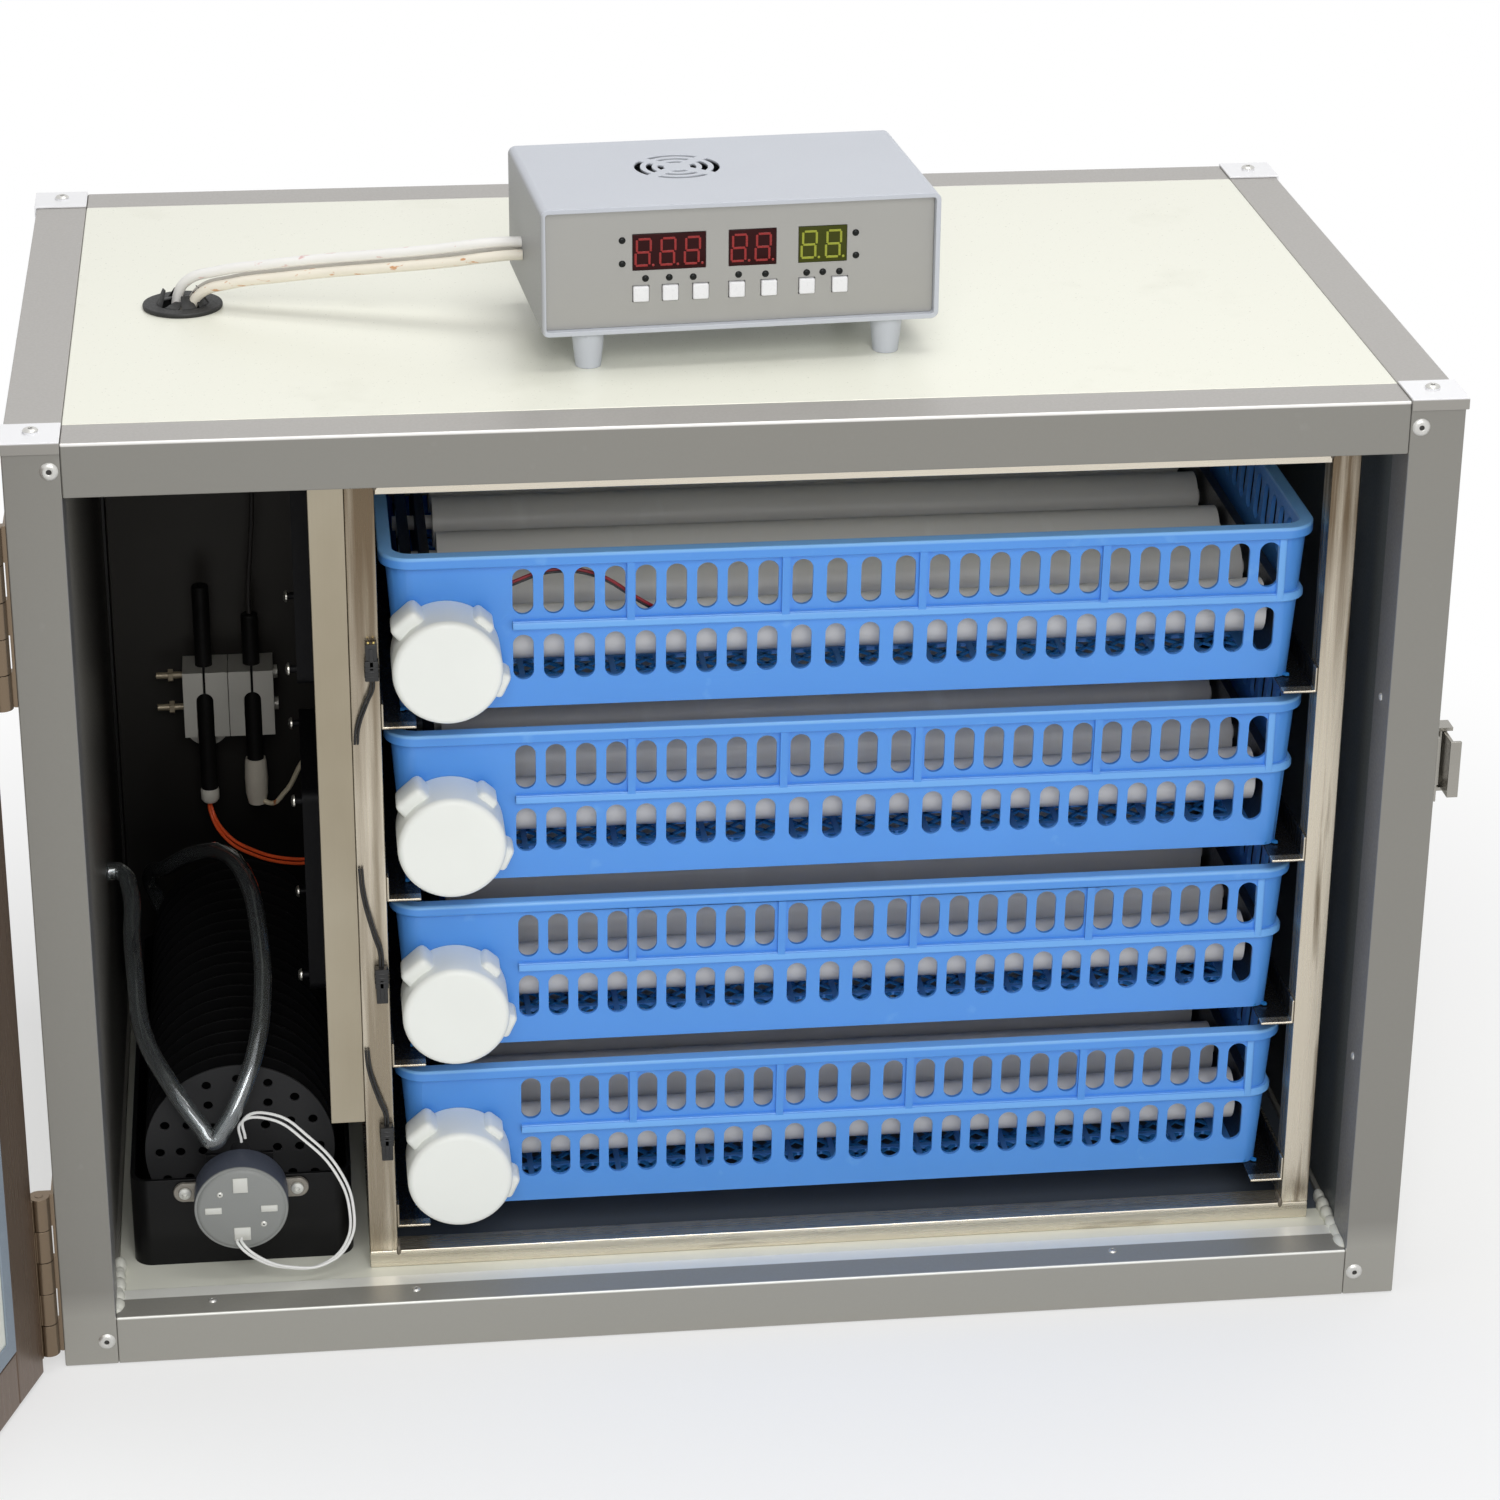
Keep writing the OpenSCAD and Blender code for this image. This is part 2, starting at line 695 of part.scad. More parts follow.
// Left bay: partition, fans, humidifier and heater
module fan_partition() color([0.78, 0.75, 0.7]) placed() difference() {
    union() {
        box([sheet_x, rack_front, partition_z], [sheet_x + sheet_t, rack_front + rack_d, rack_top]);
        box(
            [sheet_x + sheet_t - flange_w, rack_front, partition_z],
            [sheet_x + sheet_t, rack_front + sheet_t, rack_top]
        );
    }
    for (i = [0, 1])
        translate([sheet_x - 1, fan_y, fan_z(i)]) rod_x(fan_bore_d, sheet_t + 2);
}

module fan_housing() {
    hub_t = 5;
    strut_w = 6;
    strut_l = fan_bore_d + 2;
    translate([-fan_t, 0, 0]) {
        difference() {
            union() {
                difference() {
                    rotate([90, 0, 90]) linear_extrude(fan_t) rounded(fan_size, fan_size, 6);
                    translate([-1, 0, 0]) rod_x(fan_bore_d, fan_t + 2);
                }
                for (a = [45, 135])
                    rotate([a, 0, 0])
                        box([fit, -strut_l / 2, -strut_w / 2], [hub_t - fit, strut_l / 2, strut_w / 2]);
                rod_x(fan_hub_d, hub_t);
            }
            translate([-1, 0, 0]) rod_x(fan_shaft_d + 2 * running, hub_t + 2);
        }
        for (y = [-1, 1], z = [-1, 1])
            translate([-4, y * fan_screw_offset, z * fan_screw_offset]) rod_x(4, 5);
    }
}

module fan_housings() color([0.08, 0.08, 0.09]) placed() {
    for (i = [0, 1])
        translate([sheet_x, fan_y, fan_z(i)]) fan_housing();
}

module fan_rotor(i) color([0.1, 0.1, 0.11]) placed() translate([sheet_x - fan_t, fan_y, fan_z(i)]) {
    hub_x = 6;
    hub_l = fan_t - hub_x - 3;
    chord = 15;
    blade_t = 1.6;
    rod_x(fan_shaft_d, hub_x + 1);
    translate([hub_x, 0, 0]) rod_x(fan_hub_d, hub_l);
    for (k = [0:fan_blades - 1])
        rotate([k * 360 / fan_blades, 0, 0]) translate([hub_x + hub_l / 2, 0, fan_hub_d / 2 - 2])
            rotate([0, 0, 35])
                box([-chord / 2, -blade_t / 2, 0], [chord / 2, blade_t / 2, fan_bore_d / 2 - fan_hub_d / 2]);
}

// Pan with an upright bearing bracket at each end
module water_pan() color([0.06, 0.06, 0.07]) placed() translate([bay_x, pan_front, 0]) difference() {
    union() {
        translate([0, pan_l / 2, panel_t]) difference() {
            linear_extrude(pan_h) rounded(pan_w, pan_l, pan_corner);
            translate([0, 0, pan_wall]) linear_extrude(pan_h)
                rounded(pan_w - 2 * pan_wall, pan_l - 2 * pan_wall, pan_corner - pan_wall);
        }
        for (y = [0, pan_l - bracket_t])
            box([-bracket_w / 2, y, panel_t + 4], [bracket_w / 2, y + bracket_t, bracket_top]);
    }
    translate([0, -1, drum_z]) rod_y(drum_journal_d + 2 * running, pan_l + 2);
}

// Stack of discs on a shaft; the front disc has rings of air holes
module evaporator_drum() color([0.07, 0.07, 0.08]) placed() translate([bay_x, 0, drum_z]) {
    holes = [[20, 8], [32, 12], [43, 16]];
    hole_d = 5;
    translate([0, drum_y0, 0]) difference() {
        rod_y(drum_d, disc_t);
        for (ring = holes, k = [0:ring[1] - 1])
            rotate([0, k * 360 / ring[1], 0]) translate([ring[0] * drum_d / 102, -1, 0])
                rod_y(hole_d, disc_t + 2);
    }
    for (k = [1:disc_n - 1])
        translate([0, drum_y0 + k * disc_pitch, 0]) rod_y(drum_d, disc_t);
    translate([0, pan_front + bracket_t + slide_gap, 0])
        rod_y(drum_journal_d + 4, pan_l - 2 * bracket_t - 2 * slide_gap);
    translate([0, pan_front + slide_gap, 0]) rod_y(drum_journal_d, pan_l - 2 * slide_gap);
}

// Round geared motor on the pan's front bracket, with an ear and screw on each side
module drum_motor() color([0.6, 0.62, 0.62]) placed()
    translate([bay_x, pan_front - motor_t, drum_z - motor_offset]) {
        ear_x = motor_d / 2 + 5;
        ear_t = 2;
        rod_y(motor_d, motor_t);
        translate([0, -1, 0]) rod_y(motor_d - 4, 2);
        for (x = [-1, 1]) {
            translate([0, motor_t - ear_t, 0]) {
                box([min(0, x * ear_x), 0, -5], [max(0, x * ear_x), ear_t, 5]);
                translate([x * ear_x, 0, 0]) rod_y(10, ear_t);
            }
            translate([x * ear_x, motor_t - ear_t - 2, 0]) rod_y(6, 3);
        }
    }

module heater_rods() color([0.05, 0.05, 0.05]) placed() {
    for (k = [0, 1])
        translate([bay_x + (k - 0.5) * rod_spacing, heater_y, clamp_z + rod_spans[k][0]])
            cylinder(d = rod_d, h = rod_spans[k][1] - rod_spans[k][0]);
}

// Two blocks side by side, each open at the front over its rod, held by two long cross screws
// with nuts, a round plate behind the left one, and the arm to the back panel
module heater_clamp() color([0.6, 0.6, 0.6]) placed() translate([bay_x, heater_y, clamp_z]) {
    seam = 0.4;
    bore_d = rod_d + 2 * fit;
    notch_top = 0.18 * clamp_h;
    slit_w = 1.5;
    screw_d = 4;
    screw_l = 16;
    screw_y = bore_d / 4 + clamp_d / 4;
    head_d = 8;
    head_t = 2.5;
    nut_x = -clamp_w / 2 - 9;
    arm_w = 24;
    plate_d = 26;
    plate_t = 3;
    difference() {
        for (x = [-1, 1])
            translate([x * (clamp_w + seam) / 4, 0, 0])
                cube([(clamp_w - seam) / 2, clamp_d, clamp_h], center = true);
        for (x = [-0.5, 0.5])
            translate([x * rod_spacing, 0, 0]) {
                translate([0, 0, -clamp_h]) cylinder(d = bore_d, h = 2 * clamp_h);
                box([-slit_w / 2, -clamp_d, 0], [slit_w / 2, 0, clamp_h]);
                box([-rod_d / 2, -clamp_d, -clamp_h], [rod_d / 2, 0, notch_top - rod_d / 2]);
                translate([0, -clamp_d, notch_top - rod_d / 2]) rod_y(rod_d, clamp_d);
            }
    }
    for (z = [-1, 1])
        translate([0, screw_y, z * clamp_h / 4]) {
            translate([-clamp_w / 2 - screw_l, 0, 0]) rod_x(screw_d, screw_l + clamp_w + 1);
            translate([nut_x, 0, 0]) rotate([0, 90, 0]) cylinder(d = 2 * screw_d, h = 3, $fn = 6);
            translate([clamp_w / 2, 0, 0]) rod_x(head_d, head_t);
        }
    box([-arm_w / 2, clamp_d / 2 - 1, -clamp_h / 4], [arm_w / 2, heater_gap - fit, clamp_h / 4]);
    translate([-rod_spacing / 2, clamp_d / 2 - 1, -0.6 * clamp_h]) rod_y(plate_d, plate_t);
}

// Leads in the bay and the control cables over the roof
module wiring() color([0.85, 0.83, 0.78]) placed() {
    for (offset = cable_offsets) {
        over = [for (p = cable_route) p + offset];
        tail = over[len(over) - 1];
        route = concat(over, [[case_side(tail[1]), tail[1], tail[2]]]);
        translate([0, 0, cabinet_h]) swept_tube(route, cable_d, 8);
    }
    for (route = [left_rod_wire, right_rod_wire, roof_wire, motor_lead])
        translate([0, 0, panel_t]) swept_tube(route, wire_d, 8);
    for (place = plug_places) plug_on_lead(place[0], place[1]);
}

// Two-pin plug against the rack post, on a lead along the post
module plug_on_lead(low, start) {
    middle_y = rack_front - slide_gap - plug_size[1] / 2;
    top = low + plug_size[2];
    end = start < low ? low + 1 : top - 1;
    along = end - start;
    translate([plug_x, middle_y, (low + top) / 2]) cube(plug_size, center = true);
    swept_tube([
        [rack_x0 + 2, rack_front - slide_gap - plug_lead_d / 2, start],
        [rack_x0 + 3, middle_y + 1, start + 0.25 * along],
        [plug_x - 3, middle_y, start + 0.65 * along],
        [plug_x, middle_y, start + 0.85 * along],
        [plug_x, middle_y, end]
    ], plug_lead_d, 8);
}

module water_tube() color([0.75, 0.78, 0.78, 0.6]) placed() {
    translate([0, 0, panel_t]) swept_tube(water_route, water_d, 10);
}

// Controller on the roof
module cable_grommet() color([0.06, 0.06, 0.06]) placed() translate([grommet_x, grommet_y, cabinet_h]) {
    difference() {
        union() {
            translate([0, 0, -panel_t]) cylinder(d = grommet_d - 2 * fit, h = panel_t + 1);
            cylinder(d = grommet_flange_d, h = grommet_flange_t);
        }
        translate([0, 0, -panel_t - 1]) cylinder(d = grommet_bore_d, h = panel_t + grommet_flange_t + 2);
    }
}

// Moves a child drawn from the middle of the case's front, under it, to the roof
module on_case() {
    placed() translate([case_x, case_front, case_z]) rotate([0, 0, case_turn]) children();
}

// Ring slots of the vent, crossed by two bars that hold the rings
module vent_slots() {
    vent_rings = [8, 14, 20];
    slot_in = 1;
    slot_out = 2;
    bar_l = 60;
    bar_w = 6;
    difference() {
        for (r = vent_rings)
            difference() {
                cylinder(r = r + slot_out, h = 3 * case_wall, center = true);
                cylinder(r = r - slot_in, h = 4 * case_wall, center = true);
            }
        for (a = [45, 135])
            rotate([0, 0, a]) cube([bar_l, bar_w, 5 * case_wall], center = true);
    }
}

module controller_case() color([0.8, 0.82, 0.86]) on_case() {
    foot_inset = [25, 11];
    foot_x = case_w / 2 - foot_inset[0];
    vent_x = -21.5;
    vent_y = 0.57 * case_d;
    difference() {
        translate([0, case_d, case_h / 2]) rotate([90, 0, 0]) linear_extrude(case_d)
            rounded(case_w, case_h, case_edge);
        translate([0, case_d - case_wall, case_h / 2]) rotate([90, 0, 0]) linear_extrude(case_d)
            rounded(case_w - 2 * case_wall, case_h - 2 * case_wall, case_edge - case_wall);
        translate([vent_x, vent_y, case_h - case_wall / 2]) vent_slots();
    }
    for (x = [-foot_x, foot_x], y = [foot_inset[1], case_d - foot_inset[1]])
        translate([x, y, -foot_h]) cylinder(d1 = 13, d2 = 17, h = foot_h);
}

module controller_panel() color([0.68, 0.67, 0.65]) on_case() translate([0, panel_recess, 0]) difference() {
    edge = case_wall + fit;
    translate([0, face_t, case_h / 2]) rotate([90, 0, 0]) linear_extrude(face_t)
        rounded(case_w - 2 * edge, case_h - 2 * edge, case_edge - edge);
    for (w = windows)
        box(
            [w[0] - w[1] / 2, -1, window_z - window_h / 2],
            [w[0] + w[1] / 2, window_deep, window_z + window_h / 2]
        );
    for (x = button_places)
        translate([x, face_t / 2, button_z])
            cube([button_s + 2 * button_gap, 2 * face_t, button_s + 2 * button_gap], center = true);
}

// Square key with a collar behind the front panel
module push_button(k) color([0.93, 0.93, 0.94]) on_case()
    translate([button_places[k], panel_recess, button_z]) {
        half = button_s / 2;
        collar = half + 1.5;
        box([-half, -button_proud, -half], [half, face_t + slide_gap + 1.5, half]);
        box([-collar, face_t + slide_gap, -collar], [collar, face_t + slide_gap + 1.5, collar]);
    }

// Door, drawn closed in front of the cabinet and swung about its hinge pins
module swung() {
    placed() translate([pin_x, pin_y, 0]) rotate([0, 0, -door_open]) translate([-pin_x, -pin_y, 0])
        children();
}

module door_frame() color([0.33, 0.27, 0.23]) swung() {
    y0 = -door_gap - door_t;
    y1 = -door_gap;
    for (x = [-side_x, side_x - door_bar])
        tube_bar([x, y0, door_foot], [x + door_bar, y1, cabinet_h], frame_wall, 2);
    for (z = [door_foot, cabinet_h - door_bar])
        tube_bar(
            [-side_x + door_bar + fit, y0, z],
            [side_x - door_bar - fit, y1, z + door_bar], frame_wall, 0
        );
}

module door_panel() color([0.9, 0.91, 0.87]) swung()
    box(
        [-side_x + door_bar + fit, -door_gap - door_panel_t, door_foot + door_bar + fit],
        [side_x - door_bar - fit, -door_gap, cabinet_h - door_bar - fit]
    );

module door_seal() color([0.55, 0.6, 0.66]) swung() {
    x0 = side_x - door_bar - 2;
    z0 = door_foot + door_bar + 2;
    z1 = cabinet_h - door_bar - 2;
    difference() {
        box([-x0, -door_gap, z0], [x0, -door_gap + seal_t, z1]);
        box([-x0 + seal_w, -door_gap - 1, z0 + seal_w], [x0 - seal_w, 1, z1 - seal_w]);
    }
}

// One side of a hinge: its knuckles and the leaf; side 0 on the cabinet, side 1 on the door
module hinge_side(side) {
    step = hinge_l / knuckle_n;
    sign = side == 0 ? 1 : -1;
    seat = side == 0 ? 0 : -door_gap;
    far = seat + sign * leaf_w;
    reach = pin_y + sign * knuckle_d / 2;
    box([-side_x - leaf_t, min(seat, far), 0], [-side_x, max(seat, far), hinge_l]);
    difference() {
        for (k = [side:2:knuckle_n - 1])
            translate([0, 0, k * step + knuckle_gap / 2]) {
                translate([pin_x, pin_y, 0]) cylinder(d = knuckle_d, h = step - knuckle_gap);
                box([pin_x, min(seat, reach), 0], [-side_x, max(seat, reach), step - knuckle_gap]);
            }
        translate([pin_x, pin_y, -1]) cylinder(d = hinge_pin_d + 2 * running, h = hinge_l + 2);
    }
}

// Latch body on the right-hand side: plate, two ears and the pin between them
module latch_body() {
    ear_t = 2;
    translate([side_x, 0, latch_z]) {
        box([0, 2, 0], [leaf_t, frame_bar - 1, latch_h]);
        for (z = [0, latch_h - ear_t])
            box([0, latch_y - 5, z], [latch_reach + 5, latch_y + 5, z + ear_t]);
        translate([latch_reach, latch_y, 0]) cylinder(d = latch_pin_d, h = latch_h);
    }
}

module cabinet_fittings() color([0.75, 0.75, 0.76]) placed() {
    for (z = hinge_feet)
        translate([0, 0, z]) {
            hinge_side(0);
            translate([pin_x, pin_y, 0]) cylinder(d = hinge_pin_d, h = hinge_l);
        }
    latch_body();
}

// Door hinge leaves and the keeper hook for the latch
module door_fittings() color([0.72, 0.72, 0.73]) swung() {
    hook = 6;
    for (z = hinge_feet) translate([0, 0, z]) hinge_side(1);
    translate([side_x, -door_gap - 20, latch_z + 6]) {
        box([0, 0, 0], [leaf_t, 14, latch_h - 12]);
        box([0, 0, 0], [hook, leaf_t, latch_h - 12]);
    }
}

module latch_lever() color([0.82, 0.82, 0.83]) placed()
    translate([side_x + latch_reach, latch_y, latch_z + 2 + slide_gap]) {
        l = latch_h - 4 - 2 * slide_gap;
        grip = latch_y - 1;
        difference() {
            union() {
                cylinder(d = latch_pin_d + 4, h = l);
                box([0, -grip, 0], [2, 0, l]);
                box([0, -grip, 0], [6, -grip + 2, l]);
            }
            translate([0, 0, -1]) cylinder(d = latch_pin_d + 2 * running, h = l + 2);
        }
    }

cabinet_frame();
corner_caps();
top_panel();
shell_panels();
tray_rack();
fan_partition();
fan_housings();
fan_rotor(0);  // fan_rotor_lower
fan_rotor(1);  // fan_rotor_upper
water_pan();
evaporator_drum();
drum_motor();
heater_rods();
heater_clamp();
wiring();
water_tube();
cable_grommet();
controller_case();
controller_panel();
door_frame();
door_panel();
door_seal();
cabinet_fittings();
door_fittings();
latch_lever();
for (k = [0:len(button_names) - 1])
    push_button(k);
for (i = [0:tray_n - 1]) {
    tray_basket(i);
    tray_drive(i);
    for (k = [0:roller_n - 1])
        tray_roller(i, k);
}
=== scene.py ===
from math import cos, pi, radians, sin

import bmesh
import bpy
from mathutils import Matrix, Vector


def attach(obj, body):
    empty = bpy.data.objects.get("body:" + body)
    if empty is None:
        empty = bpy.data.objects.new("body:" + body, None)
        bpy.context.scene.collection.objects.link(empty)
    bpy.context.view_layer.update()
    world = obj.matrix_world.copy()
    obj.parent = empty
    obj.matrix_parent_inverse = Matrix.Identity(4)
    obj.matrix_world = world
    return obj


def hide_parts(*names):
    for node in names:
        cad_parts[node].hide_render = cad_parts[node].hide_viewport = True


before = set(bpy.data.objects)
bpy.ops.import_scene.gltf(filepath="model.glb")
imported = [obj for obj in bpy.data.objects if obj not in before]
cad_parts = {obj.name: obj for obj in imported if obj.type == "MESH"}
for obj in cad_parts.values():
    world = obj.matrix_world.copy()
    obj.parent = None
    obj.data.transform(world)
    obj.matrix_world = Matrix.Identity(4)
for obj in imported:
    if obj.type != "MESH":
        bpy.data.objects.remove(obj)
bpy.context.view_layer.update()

# Studio. The cabinet stands on a pale floor under a large soft lamp overhead, with a broad soft lamp in
# front. The camera is above the roof and a little left of the middle, and looks down into the cabinet.
bpy.context.scene.view_settings.view_transform = "Standard"
camera = bpy.data.objects.new("camera", bpy.data.cameras.new("camera"))
camera.data.lens = 96.35
camera_forward = Vector((0.11024, 0.90739, -0.40557)).normalized()
camera_right = camera_forward.cross(Vector((0.04045, 0.40363, 0.91403))).normalized()
camera_turn = Matrix((camera_right, camera_right.cross(camera_forward), -camera_forward)).transposed()
camera.matrix_world = Matrix.Translation((-0.2213, -2.0545, 1.1633)) @ camera_turn.to_4x4()
bpy.context.scene.collection.objects.link(camera)
bpy.context.scene.camera = camera


def soft_lamp(name, place, aim, size, power):
    """A square studio lamp that faces a point."""
    lamp = bpy.data.lights.new(name, "AREA")
    lamp.size = size
    lamp.energy = power
    obj = bpy.data.objects.new(name, lamp)
    obj.location = place
    obj.rotation_euler = (Vector(aim) - Vector(place)).to_track_quat("-Z", "Y").to_euler()
    bpy.context.scene.collection.objects.link(obj)


soft_lamp("overhead_lamp", (0.35, -0.1, 2.6), (0, 0, 0.4), 1.3, 21)
soft_lamp("front_lamp", (0.05, -2.35, 1.9), (0, 0, 0.28), 1.4, 32)


def white_to_camera(nodes, links, lit, strength):
    """Joins a light strength for lighting rays and plain white for rays that show the background."""
    path = nodes.new("ShaderNodeLightPath")
    seen = nodes.new("ShaderNodeMath")
    seen.operation = "MAXIMUM"
    links.new(path.outputs["Is Camera Ray"], seen.inputs[0])
    links.new(path.outputs["Is Glossy Ray"], seen.inputs[1])
    level = nodes.new("ShaderNodeMapRange")
    level.inputs["To Min"].default_value = lit
    level.inputs["To Max"].default_value = 1.0
    links.new(seen.outputs[0], level.inputs["Value"])
    links.new(level.outputs["Result"], strength)


world = bpy.data.worlds.new("studio")
world.use_nodes = True
bpy.context.scene.world = world
world.node_tree.nodes["Background"].inputs["Color"].default_value = (1, 1, 1, 1)
white_to_camera(
    world.node_tree.nodes, world.node_tree.links, 0.36,
    world.node_tree.nodes["Background"].inputs["Strength"],
)

floor_mesh = bpy.data.meshes.new("floor")
floor_bm = bmesh.new()
bmesh.ops.create_circle(floor_bm, cap_ends=True, segments=64, radius=6.0)
bmesh.ops.translate(floor_bm, verts=floor_bm.verts, vec=(0, 0, -0.0006))
floor_bm.to_mesh(floor_mesh)
floor_bm.free()
floor = bpy.data.objects.new("floor", floor_mesh)
bpy.context.scene.collection.objects.link(floor)
floor_paint = bpy.data.materials.new("pale_floor")
floor_paint.use_nodes = True
floor_nodes, floor_links = floor_paint.node_tree.nodes, floor_paint.node_tree.links
floor_nodes["Principled BSDF"].inputs["Base Color"].default_value = (0.86, 0.86, 0.86, 1)
floor_nodes["Principled BSDF"].inputs["Roughness"].default_value = 0.9
floor_glow = floor_nodes.new("ShaderNodeEmission")
floor_glow.inputs["Strength"].default_value = 1.0
floor_far = floor_nodes.new("ShaderNodeVectorMath")
floor_far.operation = "LENGTH"
floor_links.new(floor_nodes.new("ShaderNodeTexCoord").outputs["Object"], floor_far.inputs[0])
floor_fade = floor_nodes.new("ShaderNodeMapRange")
floor_fade.interpolation_type = "SMOOTHSTEP"
floor_fade.inputs["From Min"].default_value = 0.35
floor_fade.inputs["From Max"].default_value = 0.95
floor_fade.inputs["To Min"].default_value = 0.5
floor_links.new(floor_far.outputs["Value"], floor_fade.inputs["Value"])
floor_mix = floor_nodes.new("ShaderNodeMixShader")
floor_links.new(floor_fade.outputs["Result"], floor_mix.inputs["Fac"])
floor_links.new(floor_nodes["Principled BSDF"].outputs["BSDF"], floor_mix.inputs[1])
floor_links.new(floor_glow.outputs["Emission"], floor_mix.inputs[2])
floor_links.new(floor_mix.outputs["Shader"], floor_nodes["Material Output"].inputs["Surface"])
floor_mesh.materials.append(floor_paint)


# Cabinet frame. Square aluminium tubes with a satin grey coat make the twelve edges of the cabinet. The
# coat is scuffed along the tubes, and the cut edges have a small radius.
def tone(red, green, blue):
    """A screen colour in 0 to 255 as the linear colour that a shader takes."""
    linear = [(c / 255 + 0.055) / 1.055 for c in (red, green, blue)]
    return tuple(c ** 2.4 for c in linear) + (1.0,)


def finish(name, colour, rough, metal=0.0, vary=0.06, blotch=9.0, grain=(700, 700, 700), relief=0.12,
           shine=0.5):
    """A surface with blotchy colour, uneven gloss and a fine grain, in cells per metre along each axis."""
    mat = bpy.data.materials.new(name)
    mat.use_nodes = True
    nodes, links = mat.node_tree.nodes, mat.node_tree.links
    shader = nodes["Principled BSDF"]
    shader.inputs["Metallic"].default_value = metal
    shader.inputs["Specular IOR Level"].default_value = shine
    place = nodes.new("ShaderNodeTexCoord").outputs["Object"]
    patches = nodes.new("ShaderNodeTexNoise")
    patches.inputs["Scale"].default_value = blotch
    patches.inputs["Detail"].default_value = 5
    links.new(place, patches.inputs["Vector"])
    tint = nodes.new("ShaderNodeMix")
    tint.data_type = "RGBA"
    tint.inputs[6].default_value = tuple(c * (1 - vary) for c in colour[:3]) + (1.0,)
    tint.inputs[7].default_value = tuple(min(1.0, c * (1 + vary)) for c in colour[:3]) + (1.0,)
    links.new(patches.outputs["Fac"], tint.inputs[0])
    links.new(tint.outputs[2], shader.inputs["Base Color"])
    stretch = nodes.new("ShaderNodeMapping")
    stretch.inputs["Scale"].default_value = grain
    links.new(place, stretch.inputs["Vector"])
    fine = nodes.new("ShaderNodeTexNoise")
    fine.inputs["Scale"].default_value = 1.0
    fine.inputs["Detail"].default_value = 3
    links.new(stretch.outputs["Vector"], fine.inputs["Vector"])
    gloss = nodes.new("ShaderNodeMapRange")
    gloss.inputs["From Min"].default_value = 0.3
    gloss.inputs["From Max"].default_value = 0.7
    gloss.inputs["To Min"].default_value = rough * 0.82
    gloss.inputs["To Max"].default_value = min(1.0, rough * 1.18)
    links.new(fine.outputs["Fac"], gloss.inputs["Value"])
    links.new(gloss.outputs["Result"], shader.inputs["Roughness"])
    bump = nodes.new("ShaderNodeBump")
    bump.inputs["Strength"].default_value = relief
    bump.inputs["Distance"].default_value = 0.0003
    links.new(fine.outputs["Fac"], bump.inputs["Height"])
    links.new(bump.outputs["Normal"], shader.inputs["Normal"])
    return mat


def piece(name, bm, mat, body, slot, *nodes):
    """Turns a bmesh into a piece on a body, standing for the CAD nodes named."""
    mesh = bpy.data.meshes.new(name)
    bm.to_mesh(mesh)
    bm.free()
    mesh.shade_smooth()
    mesh.set_sharp_from_angle(angle=radians(42))
    mesh.materials.append(mat)
    obj = bpy.data.objects.new(name, mesh)
    bpy.context.scene.collection.objects.link(obj)
    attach(obj, body)
    if nodes:
        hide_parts(*nodes)
    return obj


def merged(node):
    """A copy of a CAD node as a bmesh, with its loose triangles joined into whole faces."""
    bm = bmesh.new()
    bm.from_mesh(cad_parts[node].data)
    bmesh.ops.remove_doubles(bm, verts=bm.verts, dist=2e-6)
    bmesh.ops.dissolve_limit(bm, angle_limit=radians(1.0), verts=bm.verts, edges=bm.edges)
    return bm


def soften(bm, width, steps=2, sharpest=35, where=lambda place: True):
    """Rounds the sharp edges of a bmesh whose ends both lie where a test says."""
    sharp = [
        e for e in bm.edges
        if len(e.link_faces) == 2 and e.calc_face_angle() > radians(sharpest)
        and all(where(v.co) for v in e.verts)
    ]
    bmesh.ops.bevel(
        bm, geom=sharp, offset=width, offset_type="OFFSET", segments=steps, profile=0.5,
        affect="EDGES", clamp_overlap=True, material=-1,
    )
    return bm


def even_shading(obj):
    """Keeps flat faces flat in shading beside their rounded edges."""
    obj.modifiers.new("even_shading", "WEIGHTED_NORMAL").keep_sharp = True
    return obj


def dressed(name, node, edge, mat, body, slot, steps=2):
    """A CAD node as a piece with its edges rounded."""
    return even_shading(piece(name, soften(merged(node), edge, steps), mat, body, slot, node))


def layer(mat, colour, mask):
    """Lays a second colour over a finish where mask, a socket of its nodes, is 1."""
    under = mat.node_tree.nodes["Principled BSDF"].inputs["Base Color"]
    mix = mat.node_tree.nodes.new("ShaderNodeMix")
    mix.data_type = "RGBA"
    mat.node_tree.links.new(mask, mix.inputs[0])
    mat.node_tree.links.new(under.links[0].from_socket, mix.inputs[6])
    mix.inputs[7].default_value = colour
    mat.node_tree.links.new(mix.outputs[2], under)


def patchy(mat, cells, low, high):
    """A mask of soft patches: cells per metre along each axis, 0 where the noise is low and 1 where high."""
    nodes, links = mat.node_tree.nodes, mat.node_tree.links
    stretch = nodes.new("ShaderNodeMapping")
    stretch.inputs["Scale"].default_value = cells
    links.new(nodes.new("ShaderNodeTexCoord").outputs["Object"], stretch.inputs["Vector"])
    noise = nodes.new("ShaderNodeTexNoise")
    noise.inputs["Scale"].default_value = 1.0
    noise.inputs["Detail"].default_value = 4
    links.new(stretch.outputs["Vector"], noise.inputs["Vector"])
    span = nodes.new("ShaderNodeMapRange")
    span.inputs["From Min"].default_value = low
    span.inputs["From Max"].default_value = high
    links.new(noise.outputs["Fac"], span.inputs["Value"])
    return span.outputs["Result"]


